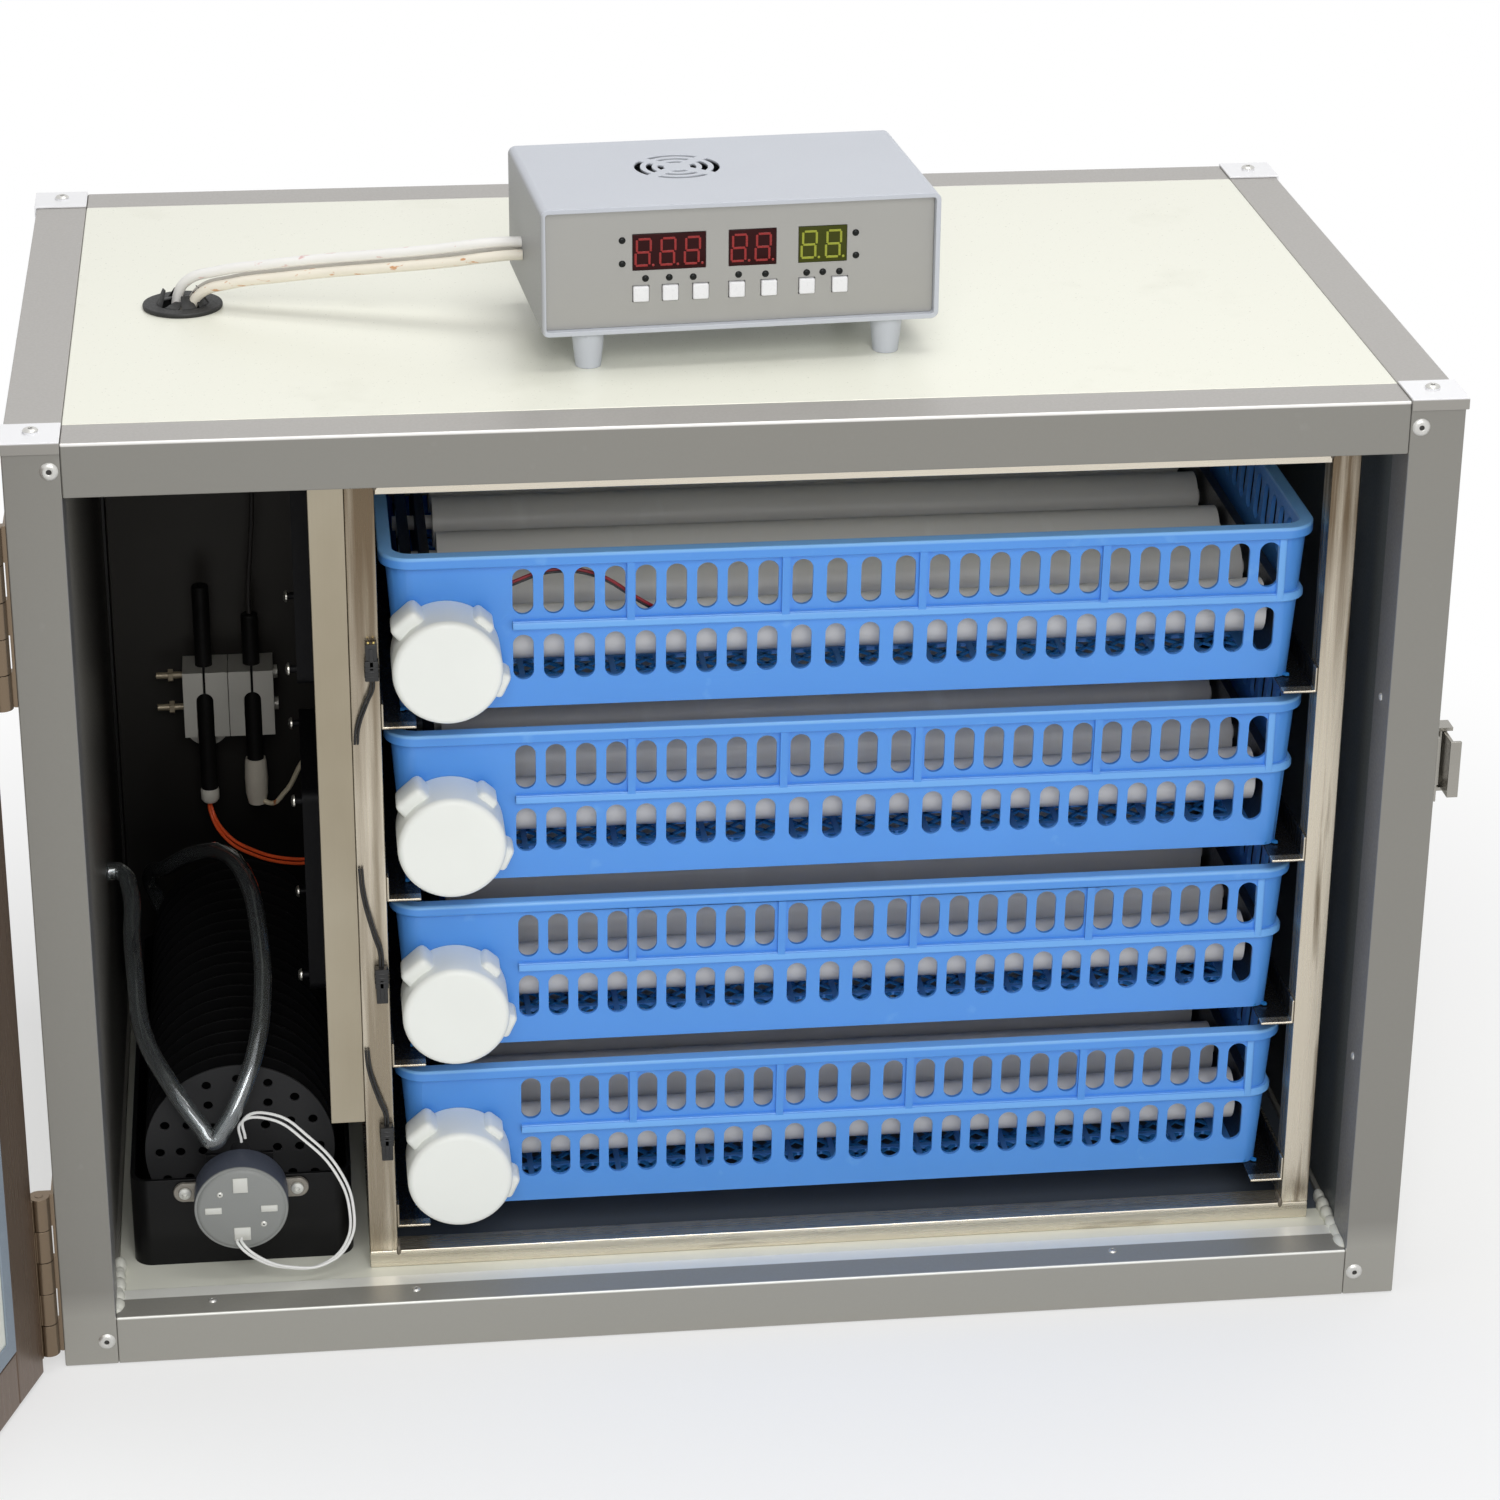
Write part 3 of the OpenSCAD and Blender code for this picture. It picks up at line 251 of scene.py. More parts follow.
def band(mat, axis, start, end):
    """A mask along an axis of the object, 0 at start and 1 at end."""
    nodes, links = mat.node_tree.nodes, mat.node_tree.links
    split = nodes.new("ShaderNodeSeparateXYZ")
    links.new(nodes.new("ShaderNodeTexCoord").outputs["Object"], split.inputs["Vector"])
    span = nodes.new("ShaderNodeMapRange")
    span.inputs["From Min"].default_value = start
    span.inputs["From Max"].default_value = end
    links.new(split.outputs["XYZ".index(axis)], span.inputs["Value"])
    return span.outputs["Result"]


def product(mat, *masks):
    """Several masks multiplied into one."""
    total = masks[0]
    for mask in masks[1:]:
        times = mat.node_tree.nodes.new("ShaderNodeMath")
        times.operation = "MULTIPLY"
        mat.node_tree.links.new(total, times.inputs[0])
        mat.node_tree.links.new(mask, times.inputs[1])
        total = times.outputs[0]
    return total


def zone(mat, *spans):
    """A mask of the places past the end of every span: an axis with a start and an end."""
    return product(mat, *(band(mat, *span) for span in spans))


frame_coat = finish("grey_frame_coat", tone(136, 134, 128), 0.4, metal=0.3, vary=0.03, blotch=4, relief=0.06)
frame_scuffs = patchy(frame_coat, (70, 70, 70), 0.68, 0.9)
layer(frame_coat, tone(148, 146, 140), frame_scuffs)
near_floor = band(frame_coat, "Z", 0.045, 0.03)
layer(frame_coat, tone(158, 156, 149), near_floor)
# Painted shade: the inner faces of the door opening are a darker grey than the coat.
door_reveal_painted_shade = zone(
    frame_coat, ("X", -0.3326, -0.3322), ("X", 0.3326, 0.3322), ("Z", 0.0284, 0.029), ("Z", 0.4878, 0.4872),
)
layer(frame_coat, tone(122, 122, 123), door_reveal_painted_shade)
sill_lap = zone(
    frame_coat, ("Y", -0.1972, -0.1966), ("Y", -0.1862, -0.1868), ("Z", 0.0270, 0.0275), ("Z", 0.0292, 0.0287),
)
layer(frame_coat, tone(252, 252, 245), sill_lap)
# Painted highlight: the top faces of the roof tubes are a lighter grey than the coat.
roof_side_painted_highlight = band(frame_coat, "Z", 0.515, 0.5158)
layer(frame_coat, tone(172, 169, 165), roof_side_painted_highlight)
# Painted highlight: a bright line along the front top edge of the roof tube.
roof_edge_painted_highlight = zone(frame_coat, ("Z", 0.5142, 0.5148), ("Y", -0.2142, -0.2147))
layer(frame_coat, tone(238, 236, 232), roof_edge_painted_highlight)
# Painted highlight: a bright line along the front top edge of the sill.
sill_edge_painted_highlight = zone(
    frame_coat, ("Z", 0.0266, 0.0271), ("Z", 0.0292, 0.0286), ("Y", -0.214, -0.2146), ("X", -0.3325, -0.332),
    ("X", 0.3325, 0.332),
)
layer(frame_coat, tone(236, 236, 230), sill_edge_painted_highlight)
# Painted shade: the rear tubes' faces inside the cabinet are near black.
inner_rear_painted_shade = zone(
    frame_coat, ("X", -0.3345, -0.334), ("X", 0.3345, 0.334), ("Y", 0.15, 0.16), ("Y", 0.2135, 0.2125),
    ("Z", 0.514, 0.513),
)
layer(frame_coat, tone(32, 31, 30), inner_rear_painted_shade)
dressed("frame_tubes", "cabinet_frame", 0.0012, frame_coat, "cabinet", "frame")


# Corner caps and rivets. Folded bright plates cover the four upper corners, each held by a rivet. Pop rivets
# with a dimpled head hold the uprights, and smaller ones hold the sill and the right-hand upright.
def turned(bm, outline, centre, axis, steps=32):
    """A lathe shape about an axis: outline is pairs of radius and distance along the axis."""
    axis = Vector(axis).normalized()
    side = axis.orthogonal().normalized()
    chain = [bm.verts.new(Vector(centre) + side * r + axis * along) for r, along in outline]
    edges = [bm.edges.new(pair) for pair in zip(chain, chain[1:])]
    bmesh.ops.spin(bm, geom=chain + edges, cent=centre, axis=axis, angle=2 * pi, steps=steps, use_merge=True)
    bmesh.ops.remove_doubles(bm, verts=bm.verts, dist=1e-6)
    bmesh.ops.recalc_face_normals(bm, faces=bm.faces)


def rivet(bm, stems, centre, axis, d, h):
    """A pop rivet: a low domed ring, and the stem of its mandrel, broken off inside."""
    turned(bm, [
        (0.15 * d, 0), (0.15 * d, 0.85 * h), (0.19 * d, h), (0.3 * d, 0.95 * h), (0.43 * d, 0.6 * h),
        (0.5 * d, 0), (0.15 * d, 0),
    ], centre, axis, 20)
    turned(stems, [
        (0, 0.4 * h), (0.1 * d, 0.3 * h), (0.16 * d, 0.3 * h), (0.16 * d, 0), (0, 0),
    ], centre, axis, 14)


bright_plate = finish("bright_cap_plate", tone(246, 246, 248), 0.4, vary=0.02, relief=0.01)
# Painted shade: the front fold of each cap plate is mid grey, darker than its bright top.
front_fold_painted_shade = zone(bright_plate, ("Y", -0.2152, -0.2158), ("Z", 0.517, 0.5162))
layer(bright_plate, tone(150, 147, 141), front_fold_painted_shade)
caps = merged("corner_caps")
front_discs = [v for v in caps.verts if v.co.z < 0.5065 and v.co.y < -0.2149]
bmesh.ops.delete(caps, geom=front_discs, context="VERTS")
even_shading(piece("cap_plates", soften(caps, 0.0004), bright_plate, "cabinet", "caps", "corner_caps"))
rivet_steel = finish("rivet_steel", tone(205, 204, 200), 0.35, metal=0.7, blotch=60)
rivets, stems = bmesh.new(), bmesh.new()
for x in (-0.346, 0.346):
    for y in (-0.201, 0.201):
        rivet(rivets, stems, (x, y, 0.5184), (0, 0, 1), 0.0078, 0.0014)
for x in (-0.3376, 0.3376):
    for z in (0.014, 0.502):
        rivet(rivets, stems, (x, -0.215, z), (0, -1, 0), 0.0092, 0.0013)
for x in (-0.2816, -0.1736, 0.205):
    rivet(rivets, stems, (x, -0.2025, 0.028), (0, 0, 1), 0.0048, 0.001)
for z in (0.35, 0.14):
    rivet(rivets, stems, (0.332, -0.2, z), (-1, 0, 0), 0.0045, 0.0009)
piece("rivet_heads", rivets, rivet_steel, "cabinet", "caps")
# The stems are steel, painted dark grey as painted shade of the hole in each rivet.
stem_painted_shade = finish("rivet_stem_painted_shade", tone(58, 56, 54), 0.45, metal=0.4, blotch=60)
piece("rivet_stems", stems, stem_painted_shade, "cabinet", "caps")

# Insulated panels. Foam boards with a cream coated skin close the roof, floor, back and sides. The skin has a
# soft sheen with faint ripples. Inside, the walls are painted near black with less gloss, and the floor under
# the trays blue-grey: both painted shade, lighter in places. Smears of white sealant close the corners behind
# the sill.
cream_skin = finish("cream_panel_skin", tone(243, 243, 229), 0.33, vary=0.025, blotch=3.0, relief=0.03)
layer(cream_skin, tone(228, 228, 212), patchy(cream_skin, (14, 14, 14), 0.6, 0.85))
dressed("roof_board", "top_panel", 0.0008, cream_skin, "cabinet", "roof_panel")
wall_skin = finish("wall_panel_skin", tone(232, 232, 219), 0.36, vary=0.03, blotch=3.0, relief=0.03)
# Painted shade: the inside faces of the walls are near black and less glossy, with darker patches.
painted_shade_inside = zone(
    wall_skin, ("Z", 0.0285, 0.0295), ("Y", 0.2145, 0.2135), ("X", -0.3595, -0.3585), ("X", 0.3595, 0.3585),
)
layer(wall_skin, tone(24, 23, 22), painted_shade_inside)
dull = wall_skin.node_tree.nodes.new("ShaderNodeMapRange")
dull.inputs["To Min"].default_value = 0.5
dull.inputs["To Max"].default_value = 0.12
wall_skin.node_tree.links.new(painted_shade_inside, dull.inputs["Value"])
wall_skin.node_tree.links.new(
    dull.outputs["Result"], wall_skin.node_tree.nodes["Principled BSDF"].inputs["Specular IOR Level"],
)
painted_shade_patches = product(wall_skin, painted_shade_inside, patchy(wall_skin, (8, 8, 5), 0.5, 0.75))
layer(wall_skin, tone(38, 37, 36), painted_shade_patches)
# Lighter painted shade inside: grey on the right wall and at the back of the bay, mid grey at the front of the
# left wall.
right_wall_painted_shade = product(wall_skin, painted_shade_inside, band(wall_skin, "X", 0.32, 0.325))
layer(wall_skin, tone(88, 92, 94), right_wall_painted_shade)
bay_rear_painted_shade = product(
    wall_skin, painted_shade_inside, band(wall_skin, "X", -0.19, -0.2), band(wall_skin, "Y", 0.15, 0.16),
    band(wall_skin, "Z", 0.12, 0.36),
)
layer(wall_skin, tone(84, 81, 77), bay_rear_painted_shade)
left_wall_front_painted_shade = product(
    wall_skin, painted_shade_inside, band(wall_skin, "X", -0.325, -0.33), band(wall_skin, "Y", 0.10, -0.185),
)
layer(wall_skin, tone(150, 148, 143), left_wall_front_painted_shade)
# Painted shade: the cream floor under the trays is blue-grey.
under_trays_painted_shade = zone(
    wall_skin, ("Z", 0.02, 0.0205), ("Z", 0.0275, 0.027), ("Y", -0.1665, -0.1655), ("X", -0.1915, -0.1905),
)
layer(wall_skin, tone(88, 95, 104), under_trays_painted_shade)
dressed("wall_boards", "shell_panels", 0.0008, wall_skin, "cabinet", "wall_panel")
sealant_white = finish("white_sealant", tone(226, 226, 216), 0.5, vary=0.08, blotch=120, relief=0.3)
sealant = bmesh.new()
sealant_x, sealant_start, sealant_step, sealant_z = 0.3325, -0.206, 0.0014, 0.0276
for side in (-1, 1):
    for step in range(36):
        swell = 0.003 + 0.0009 * sin(0.9 * step + side) + 0.0004 * sin(2.3 * step)
        spot = Matrix.Translation((
            side * (sealant_x - 0.3 * swell), sealant_start + sealant_step * step, sealant_z,
        ))
        smear = spot @ Matrix.Diagonal((0.9, 1.6, 0.7 + 0.02 * step, 1))
        bmesh.ops.create_icosphere(sealant, subdivisions=2, radius=swell, matrix=smear)
piece("corner_sealant", sealant, sealant_white, "cabinet", "wall_panel")

# Rack. Square stainless tubes, bars and folded angle runners are welded into an open stand for the trays. The
# welds leave grey beads at the corners and brown heat stains beside them.
post_steel = finish("welded_stainless_posts", tone(208, 199, 182), 0.26, metal=0.85, vary=0.06, blotch=10,
                    grain=(900, 900, 25), relief=0.05)
post_streaks = patchy(post_steel, (150, 150, 7), 0.6, 0.72)
layer(post_steel, tone(128, 116, 98), post_streaks)
foot_stain = product(
    post_steel, band(post_steel, "Z", 0.062, 0.036), patchy(post_steel, (60, 60, 40), 0.5, 0.75),
)
layer(post_steel, tone(104, 84, 60), foot_stain)
left_post = product(
    post_steel, band(post_steel, "X", -0.165, -0.175), patchy(post_steel, (120, 120, 5), 0.3, 0.55),
)
layer(post_steel, tone(148, 137, 119), left_post)
top_stain = product(
    post_steel, band(post_steel, "Z", 0.30, 0.44), patchy(post_steel, (170, 170, 5), 0.38, 0.6),
)
layer(post_steel, tone(112, 97, 78), top_stain)
# Painted shade: the rack behind its front posts and the tops of the runners are dark grey.
behind_posts_painted_shade = band(post_steel, "Y", -0.156, -0.154)
layer(post_steel, tone(72, 71, 70), behind_posts_painted_shade)
runner_tops_painted_shade = zone(post_steel, ("X", 0.3047, 0.3042), ("X", -0.1817, -0.1812), ("Y", -0.1694, -0.1688))
layer(post_steel, tone(70, 70, 70), runner_tops_painted_shade)
bar_steel = finish("welded_stainless_bars", tone(222, 214, 198), 0.28, metal=0.85, vary=0.06, blotch=10,
                   grain=(20, 900, 900), relief=0.05)
layer(bar_steel, tone(120, 108, 90), patchy(bar_steel, (9, 90, 90), 0.62, 0.76))
stand = soften(merged("tray_rack"), 0.0008)
for face in stand.faces:
    spot = face.calc_center_median()
    face.material_index = int(spot.z < 0.0362 or spot.z > 0.4698 and -0.1815 < spot.x < 0.3045)
rack = even_shading(piece("rack_stand", stand, post_steel, "cabinet", "rack_steel", "tray_rack"))
rack.data.materials.append(bar_steel)
weld_grey = finish("weld_bead", tone(126, 118, 106), 0.5, metal=0.7, vary=0.2, blotch=200, relief=0.4)
welds = bmesh.new()
bead_radius, bead_step, bead_sink = 0.0021, 0.0025, 0.0004
for x, inward in ((-0.182, 1), (0.305, -1)):
    for y in (-0.17, 0.125):
        for z in (0.036, 0.475):
            for step in range(4):
                spot = Matrix.Translation((x + inward * bead_sink, y - 0.004 + bead_step * step, z))
                bead = spot @ Matrix.Diagonal((0.7, 1, 1.6, 1))
                bmesh.ops.create_icosphere(welds, subdivisions=2, radius=bead_radius, matrix=bead)
piece("rack_welds", welds, weld_grey, "cabinet", "rack_steel")


# Baskets. Each tray is one injection moulding in blue plastic: leaning walls with two rows of air slots and a
# ledge between them, a rolled rim, outside ribs, and a floor of square ribs with a finer diamond mesh in it.
def block(bm, low, high, edge=0.0, steps=2, turn=None):
    """A box between two corners with rounded edges, turned by a matrix about the origin if one is given."""
    low, high = Vector(low), Vector(high)
    shape = Matrix.Translation((low + high) / 2) @ Matrix.Diagonal(high - low).to_4x4()
    made = bmesh.ops.create_cube(bm, size=1, matrix=(turn or Matrix()) @ shape)["verts"]
    if edge:
        made = bmesh.ops.bevel(
            bm, geom=list({e for v in made for e in v.link_edges}), offset=edge, offset_type="OFFSET",
            segments=steps, profile=0.5, affect="EDGES", clamp_overlap=True, material=-1,
        )["verts"]
    return made


blue_plastic = finish("blue_basket_plastic", tone(84, 152, 232), 0.38, vary=0.05, blotch=16, relief=0.05)
blue_shader = blue_plastic.node_tree.nodes["Principled BSDF"].inputs
blue_shader["Subsurface Weight"].default_value = 0.12
blue_shader["Subsurface Radius"].default_value = (0.001, 0.002, 0.004)
layer(blue_plastic, tone(118, 178, 240), patchy(blue_plastic, (50, 50, 50), 0.66, 0.85))
# Painted highlight: the ledge is a lighter copy of the basket's blue plastic.
ledge_blue_painted_highlight = finish("blue_ledge_painted_highlight", tone(112, 175, 242), 0.34, vary=0.05, blotch=30, relief=0.05)
# Painted shade: the floor mesh is a darker copy of the basket's blue plastic.
mesh_blue_painted_shade = finish("blue_mesh_painted_shade", tone(40, 124, 196), 0.42, vary=0.06, blotch=20)
tray_foot, tray_pitch = 0.052, 0.0975
tray_z = [tray_foot + tray_pitch * k for k in range(4)]
rim_middle, rim_arc, rim_radius = Vector((0.0615, -0.025)), Vector((0.225, 0.123)), 0.017
mesh_step, mesh_bars, mesh_reach = 0.009, 28, 0.28
mesh_half_w, mesh_half_h = 0.001, 0.0007
basket_low, basket_high = Vector((-0.1715, -0.156, 0)), Vector((0.2945, 0.106, 0))
# Painted highlight: a lighter band along the top of each basket's rim.
for z in tray_z:
    rim_top_painted_highlight = zone(blue_plastic, ("Z", z + 0.0848, z + 0.0856), ("Z", z + 0.0885, z + 0.088))
    layer(blue_plastic, tone(126, 184, 243), rim_top_painted_highlight)


def on_rim(place, foot):
    """Tells whether a place is on the outer face of the rim of the basket that stands at a height."""
    off = Vector((abs(place.x - rim_middle.x), abs(place.y - rim_middle.y))) - rim_arc
    reach = Vector((max(off.x, 0), max(off.y, 0))).length
    return place.z > foot + 0.0797 and abs(reach - rim_radius) < 0.0004


def basket_ledge(bm, foot):
    """The ledge between a basket's two rows of slots: along its front and round the right-hand corner."""
    corner, start, end = Vector((rim_middle.x + rim_arc.x, rim_middle.y - rim_arc.y)), -0.1133, 0.098
    stations = [(Vector((start, corner.y)), 0), *((corner, turn) for turn in range(0, 91, 10))]
    stations.append((Vector((corner.x, end)), 90))
    outline = [
        (0.0102, 0.0444), (0.0132, 0.0444), (0.0141, 0.0453), (0.0141, 0.0478), (0.0132, 0.0491),
        (0.0102, 0.0491),
    ]
    rings = []
    for middle, turn in stations:
        out = Vector((sin(radians(turn)), -cos(radians(turn))))
        rings.append([bm.verts.new((*(middle + reach * out), foot + rise)) for reach, rise in outline])
    for ring, after in zip(rings, rings[1:]):
        for n in range(len(outline)):
            bm.faces.new((ring[n - 1], ring[n], after[n], after[n - 1]))
    for ring in (rings[0], rings[-1]):
        bm.faces.new(ring)
    skin = {face for ring in rings for v in ring for face in v.link_faces}
    bmesh.ops.recalc_face_normals(bm, faces=list(skin))


for k, z in enumerate(tray_z, 1):
    basket = soften(merged(f"tray_{k}_basket"), 0.0018, 3, where=lambda place: on_rim(place, z))
    soften(basket, 0.0006)
    even_shading(piece(f"basket_{k}", basket, blue_plastic, f"tray_{k}", "basket_blue", f"tray_{k}_basket"))
    ledge = bmesh.new()
    basket_ledge(ledge, z)
    block(ledge, (0.2835, -0.1625, z + 0.046), (0.2873, -0.158, z + 0.082), 0.0006)
    piece(f"basket_ledge_{k}", ledge, ledge_blue_painted_highlight, f"tray_{k}", "basket_blue")
    lattice = bmesh.new()
    middle = (basket_low + basket_high) / 2
    for slope in (-1, 1):
        lift = Matrix.Translation(middle + Vector((0, 0, z + 0.001)))
        turn = lift @ Matrix.Rotation(slope * pi / 4, 4, "Z")
        for n in range(-mesh_bars, mesh_bars + 1):
            low = (-mesh_reach, n * mesh_step - mesh_half_w, -mesh_half_h)
            high = (mesh_reach, n * mesh_step + mesh_half_w, mesh_half_h)
            block(lattice, low, high, turn=turn)
    for corner, out in ((basket_low, -1), (basket_high, 1)):
        for axis in ((1, 0, 0), (0, 1, 0)):
            bmesh.ops.bisect_plane(
                lattice, geom=lattice.verts[:] + lattice.edges[:] + lattice.faces[:], plane_co=corner,
                plane_no=out * Vector(axis), clear_outer=True,
            )
            bmesh.ops.holes_fill(lattice, edges=lattice.edges, sides=4)
    piece(f"basket_mesh_{k}", lattice, mesh_blue_painted_shade, f"tray_{k}", "basket_blue")

# Tray drives. A white moulded cup with three lugs covers each turning motor on the basket's front. Black
# bearing plates stand inside the basket at both ends, and a rubber belt turns the rollers on the left.
cover_white = finish("white_cover_plastic", tone(238, 240, 235), 0.42, vary=0.03, blotch=30, relief=0.05)
plate_black = finish("black_bearing_plastic", tone(34, 34, 36), 0.4, vary=0.15, blotch=30)
cover_r, cover_round = 0.028, 0.0036
cover_front, cover_back = -0.191, -0.1606
cover_x, cover_rise, front_wall_y = -0.148, 0.034, -0.157
for k, z in enumerate(tray_z, 1):
    plates = merged(f"tray_{k}_drive")
    bmesh.ops.delete(plates, geom=[v for v in plates.verts if v.co.y < front_wall_y], context="VERTS")
    even_shading(piece(
        f"roller_plates_{k}", soften(plates, 0.0006), plate_black, f"tray_{k}", "drive_white",
        f"tray_{k}_drive",
    ))
    centre = Vector((cover_x, cover_front, z + cover_rise))
    cup = bmesh.new()
    rounding = [
        (cover_r - cover_round * (1 - sin(a * pi / 12)), cover_round * (1 - cos(a * pi / 12)))
        for a in range(7)
    ]
    depth = cover_back - cover_front
    cup_outline = [(0, 0.0004), (0.012, 0.0002), *rounding, (cover_r, depth), (0, depth)]
    turned(cup, cup_outline, centre, (0, 1, 0), 56)
    for angle, reach, half, near, edge in (
        (131, 0.0345, 0.0088, 0.009, 0.0035), (48, 0.0315, 0.0058, 0.011, 0.0028),
        (-25, 0.0335, 0.007, 0.012, 0.003),
    ):
        turn = Matrix.Translation(centre) @ Matrix.Rotation(radians(-angle), 4, "Y")
        block(cup, (0.012, near, -half), (reach, depth - 0.0006, half), edge, 3, turn)
    piece(f"motor_cover_{k}", cup, cover_white, f"tray_{k}", "drive_white")

# Rollers. Grey plastic tubes with a moulded plug in each end lie across the tray; eggs rest between them. The
# tube has faint scuffs round it where eggs have turned.
roller_grey = finish("grey_roller_tube", tone(226, 223, 218), 0.4, vary=0.05, blotch=12, grain=(20, 800, 800))
layer(roller_grey, tone(238, 237, 233), patchy(roller_grey, (45, 12, 12), 0.6, 0.8))
for k in range(1, 5):
    for n in range(1, 6):
        dressed(
            f"roller_{k}_{n}", f"tray_{k}_roller_{n}", 0.0006, roller_grey, f"roller_{k}_{n}", "roller_grey",
        )

# Fan partition. A folded stainless sheet stands beside the rack with its front edge turned towards the bay,
# brushed from top to bottom. It carries two black square fans with bright screw tips.
brushed_sheet = finish("brushed_stainless", tone(172, 163, 144), 0.34, metal=0.9, vary=0.07, blotch=10,
                       grain=(1600, 1600, 10), relief=0.1)
# Painted reflection: soft darker patches on the sheet stand for uneven reflections on the brushed steel.
layer(brushed_sheet, tone(154, 144, 124), patchy(brushed_sheet, (9, 9, 5), 0.45, 0.75))
dressed("fan_sheet", "fan_partition", 0.0005, brushed_sheet, "cabinet", "partition_steel")
fan_black = finish("black_fan_plastic", tone(17, 17, 20), 0.5, vary=0.12, blotch=24, shine=0.15)
dressed("fan_frames", "fan_housings", 0.0007, fan_black, "cabinet", "fan_black")
for level in ("lower", "upper"):
    dressed(f"fan_blades_{level}", f"fan_rotor_{level}", 0.0005, fan_black, f"fan_{level}", "fan_black")
screw_bright = finish("zinc_screws", tone(208, 205, 196), 0.3, metal=0.85, vary=0.1, blotch=120)
screws = bmesh.new()
fan_face_x, fan_y, fan_screw_off = -0.2275, -0.0225, 0.0525
for z in (0.207, 0.389):
    for dy in (-fan_screw_off, fan_screw_off):
        for dz in (-fan_screw_off, fan_screw_off):
            turned(screws, [(0, 0.0022), (0.0024, 0.0018), (0.0034, 0.0008), (0.0034, 0), (0, 0)],
                   (fan_face_x, fan_y + dy, z + dz), (-1, 0, 0), 16)
piece("fan_screws", screws, screw_bright, "cabinet", "partition_steel")

# Humidifier. A black pan of water stands under a stack of thin black discs on a shaft. The front disc is a
# dull perforated plate, and a small geared motor on the pan's front bracket turns the stack.
pan_black = finish("black_pan_plastic", tone(12, 12, 13), 0.34, vary=0.15, blotch=12, relief=0.06, shine=0.2)
layer(pan_black, tone(24, 24, 24), patchy(pan_black, (60, 60, 25), 0.68, 0.85))
dressed("water_tray", "water_pan", 0.0008, pan_black, "cabinet", "pan_black")
disc_black = finish("black_disc_plastic", tone(11, 11, 12), 0.55, vary=0.15, blotch=20, relief=0.06,
                    shine=0.12)
layer(disc_black, tone(52, 52, 53), band(disc_black, "Y", -0.1352, -0.1356))
dressed("disc_stack", "evaporator_drum", 0.0003, disc_black, "drum", "drum_black")

# Drum motor. A round pressed-steel can with a grey back cover, two ears with screws and four punched tabs
# that hold the cover. Its side is dark, and two thin white leads come out at the lowest tab.
motor_grey = finish("motor_cover_steel", tone(138, 140, 138), 0.45, vary=0.06, blotch=40)
layer(motor_grey, tone(70, 75, 88), band(motor_grey, "Y", -0.1795, -0.1788))
motor_centre = Vector((-0.2645, -0.181, 0.07))
can = bmesh.new()
turned(can, [
    (0, 0), (0.0215, 0), (0.0231, 0.0005), (0.0236, 0.0012), (0.0246, 0.0012), (0.025, 0.0018),
    (0.025, 0.021), (0, 0.021),
], motor_centre, (0, 1, 0), 56)
piece("motor_can", can, motor_grey, "cabinet", "motor_steel", "drum_motor")
tab_bright = finish("motor_tabs", tone(214, 214, 208), 0.35, metal=0.4, vary=0.05, blotch=80)
layer(tab_bright, tone(142, 137, 128), band(tab_bright, "Y", -0.163, -0.1625))
tabs, pits = bmesh.new(), bmesh.new()
for x in (-1, 1):
    turned(tabs, [(0, 0), (0.0052, 0), (0.0056, 0.0004), (0.0056, 0.0022), (0, 0.0022)],
           motor_centre + Vector((x * 0.0305, 0.0187, 0.001)), (0, 1, 0), 28)
    block(tabs, motor_centre + Vector((x * 0.026 - 0.0045, 0.0188, -0.0046)),
          motor_centre + Vector((x * 0.026 + 0.0045, 0.0209, 0.0066)), 0.0004)
for angle, wide, tall in (
    (0, 0.0088, 0.0038), (90, 0.0078, 0.0088), (180, 0.0088, 0.0038), (270, 0.0088, 0.0078),
):
    spot = motor_centre + Matrix.Rotation(radians(-angle), 3, "Y") @ Vector((0.0148, 0, 0))
    low, high = Vector((-wide / 2, -0.0006, -tall / 2)), Vector((wide / 2, 0.0004, tall / 2))
    block(tabs, spot + low, spot + high, 0.0003)
for x, z in ((-0.011, 0.0095), (0.0115, -0.0095)):
    rivet(tabs, pits, motor_centre + Vector((x, 0, z)), (0, -1, 0), 0.0034, 0.0006)
for x in (-0.03, 0.03):
    turned(tabs, [(0, 0.0012), (0.0012, 0.0012), (0.0014, 0.002), (0.0032, 0.0014), (0.0036, 0), (0, 0)],
           motor_centre + Vector((x, 0.0187, 0.001)), (0, -1, 0), 20)
piece("motor_tabs_and_screws", tabs, tab_bright, "cabinet", "motor_steel")
# These rivet stems also carry painted shade of their holes.
piece("motor_rivet_stems", pits, stem_painted_shade, "cabinet", "motor_steel")

# Heater. Two black rods stand in grey clamp blocks, which two long brass screws draw together. The left rod
# ends in a white ceramic bush, the right one in a sleeve of white glass braid.
rod_black = finish("black_heater_rod", tone(17, 16, 15), 0.55, vary=0.2, blotch=60, relief=0.2, shine=0.25)
dressed("heater_tubes", "heater_rods", 0.0012, rod_black, "cabinet", "rod_black", 3)
clamp_grey = finish("cast_clamp", tone(214, 211, 202), 0.42, metal=0.35, vary=0.05, blotch=60, relief=0.2)
layer(clamp_grey, tone(188, 174, 148), band(clamp_grey, "X", -0.2912, -0.2914))
dressed("clamp_blocks", "heater_clamp", 0.0005, clamp_grey, "cabinet", "clamp_grey")
ceramic = finish("white_ceramic", tone(232, 228, 216), 0.45, vary=0.06, blotch=150)
bush = bmesh.new()
turned(bush, [(0, -0.004), (0.004, -0.004), (0.0055, -0.002), (0.0056, 0.003), (0.0051, 0.005), (0, 0.005)],
       (-0.2785, 0.16, 0.1585), (0, 0, 1), 28)
piece("ceramic_bush", bush, ceramic, "cabinet", "clamp_grey")
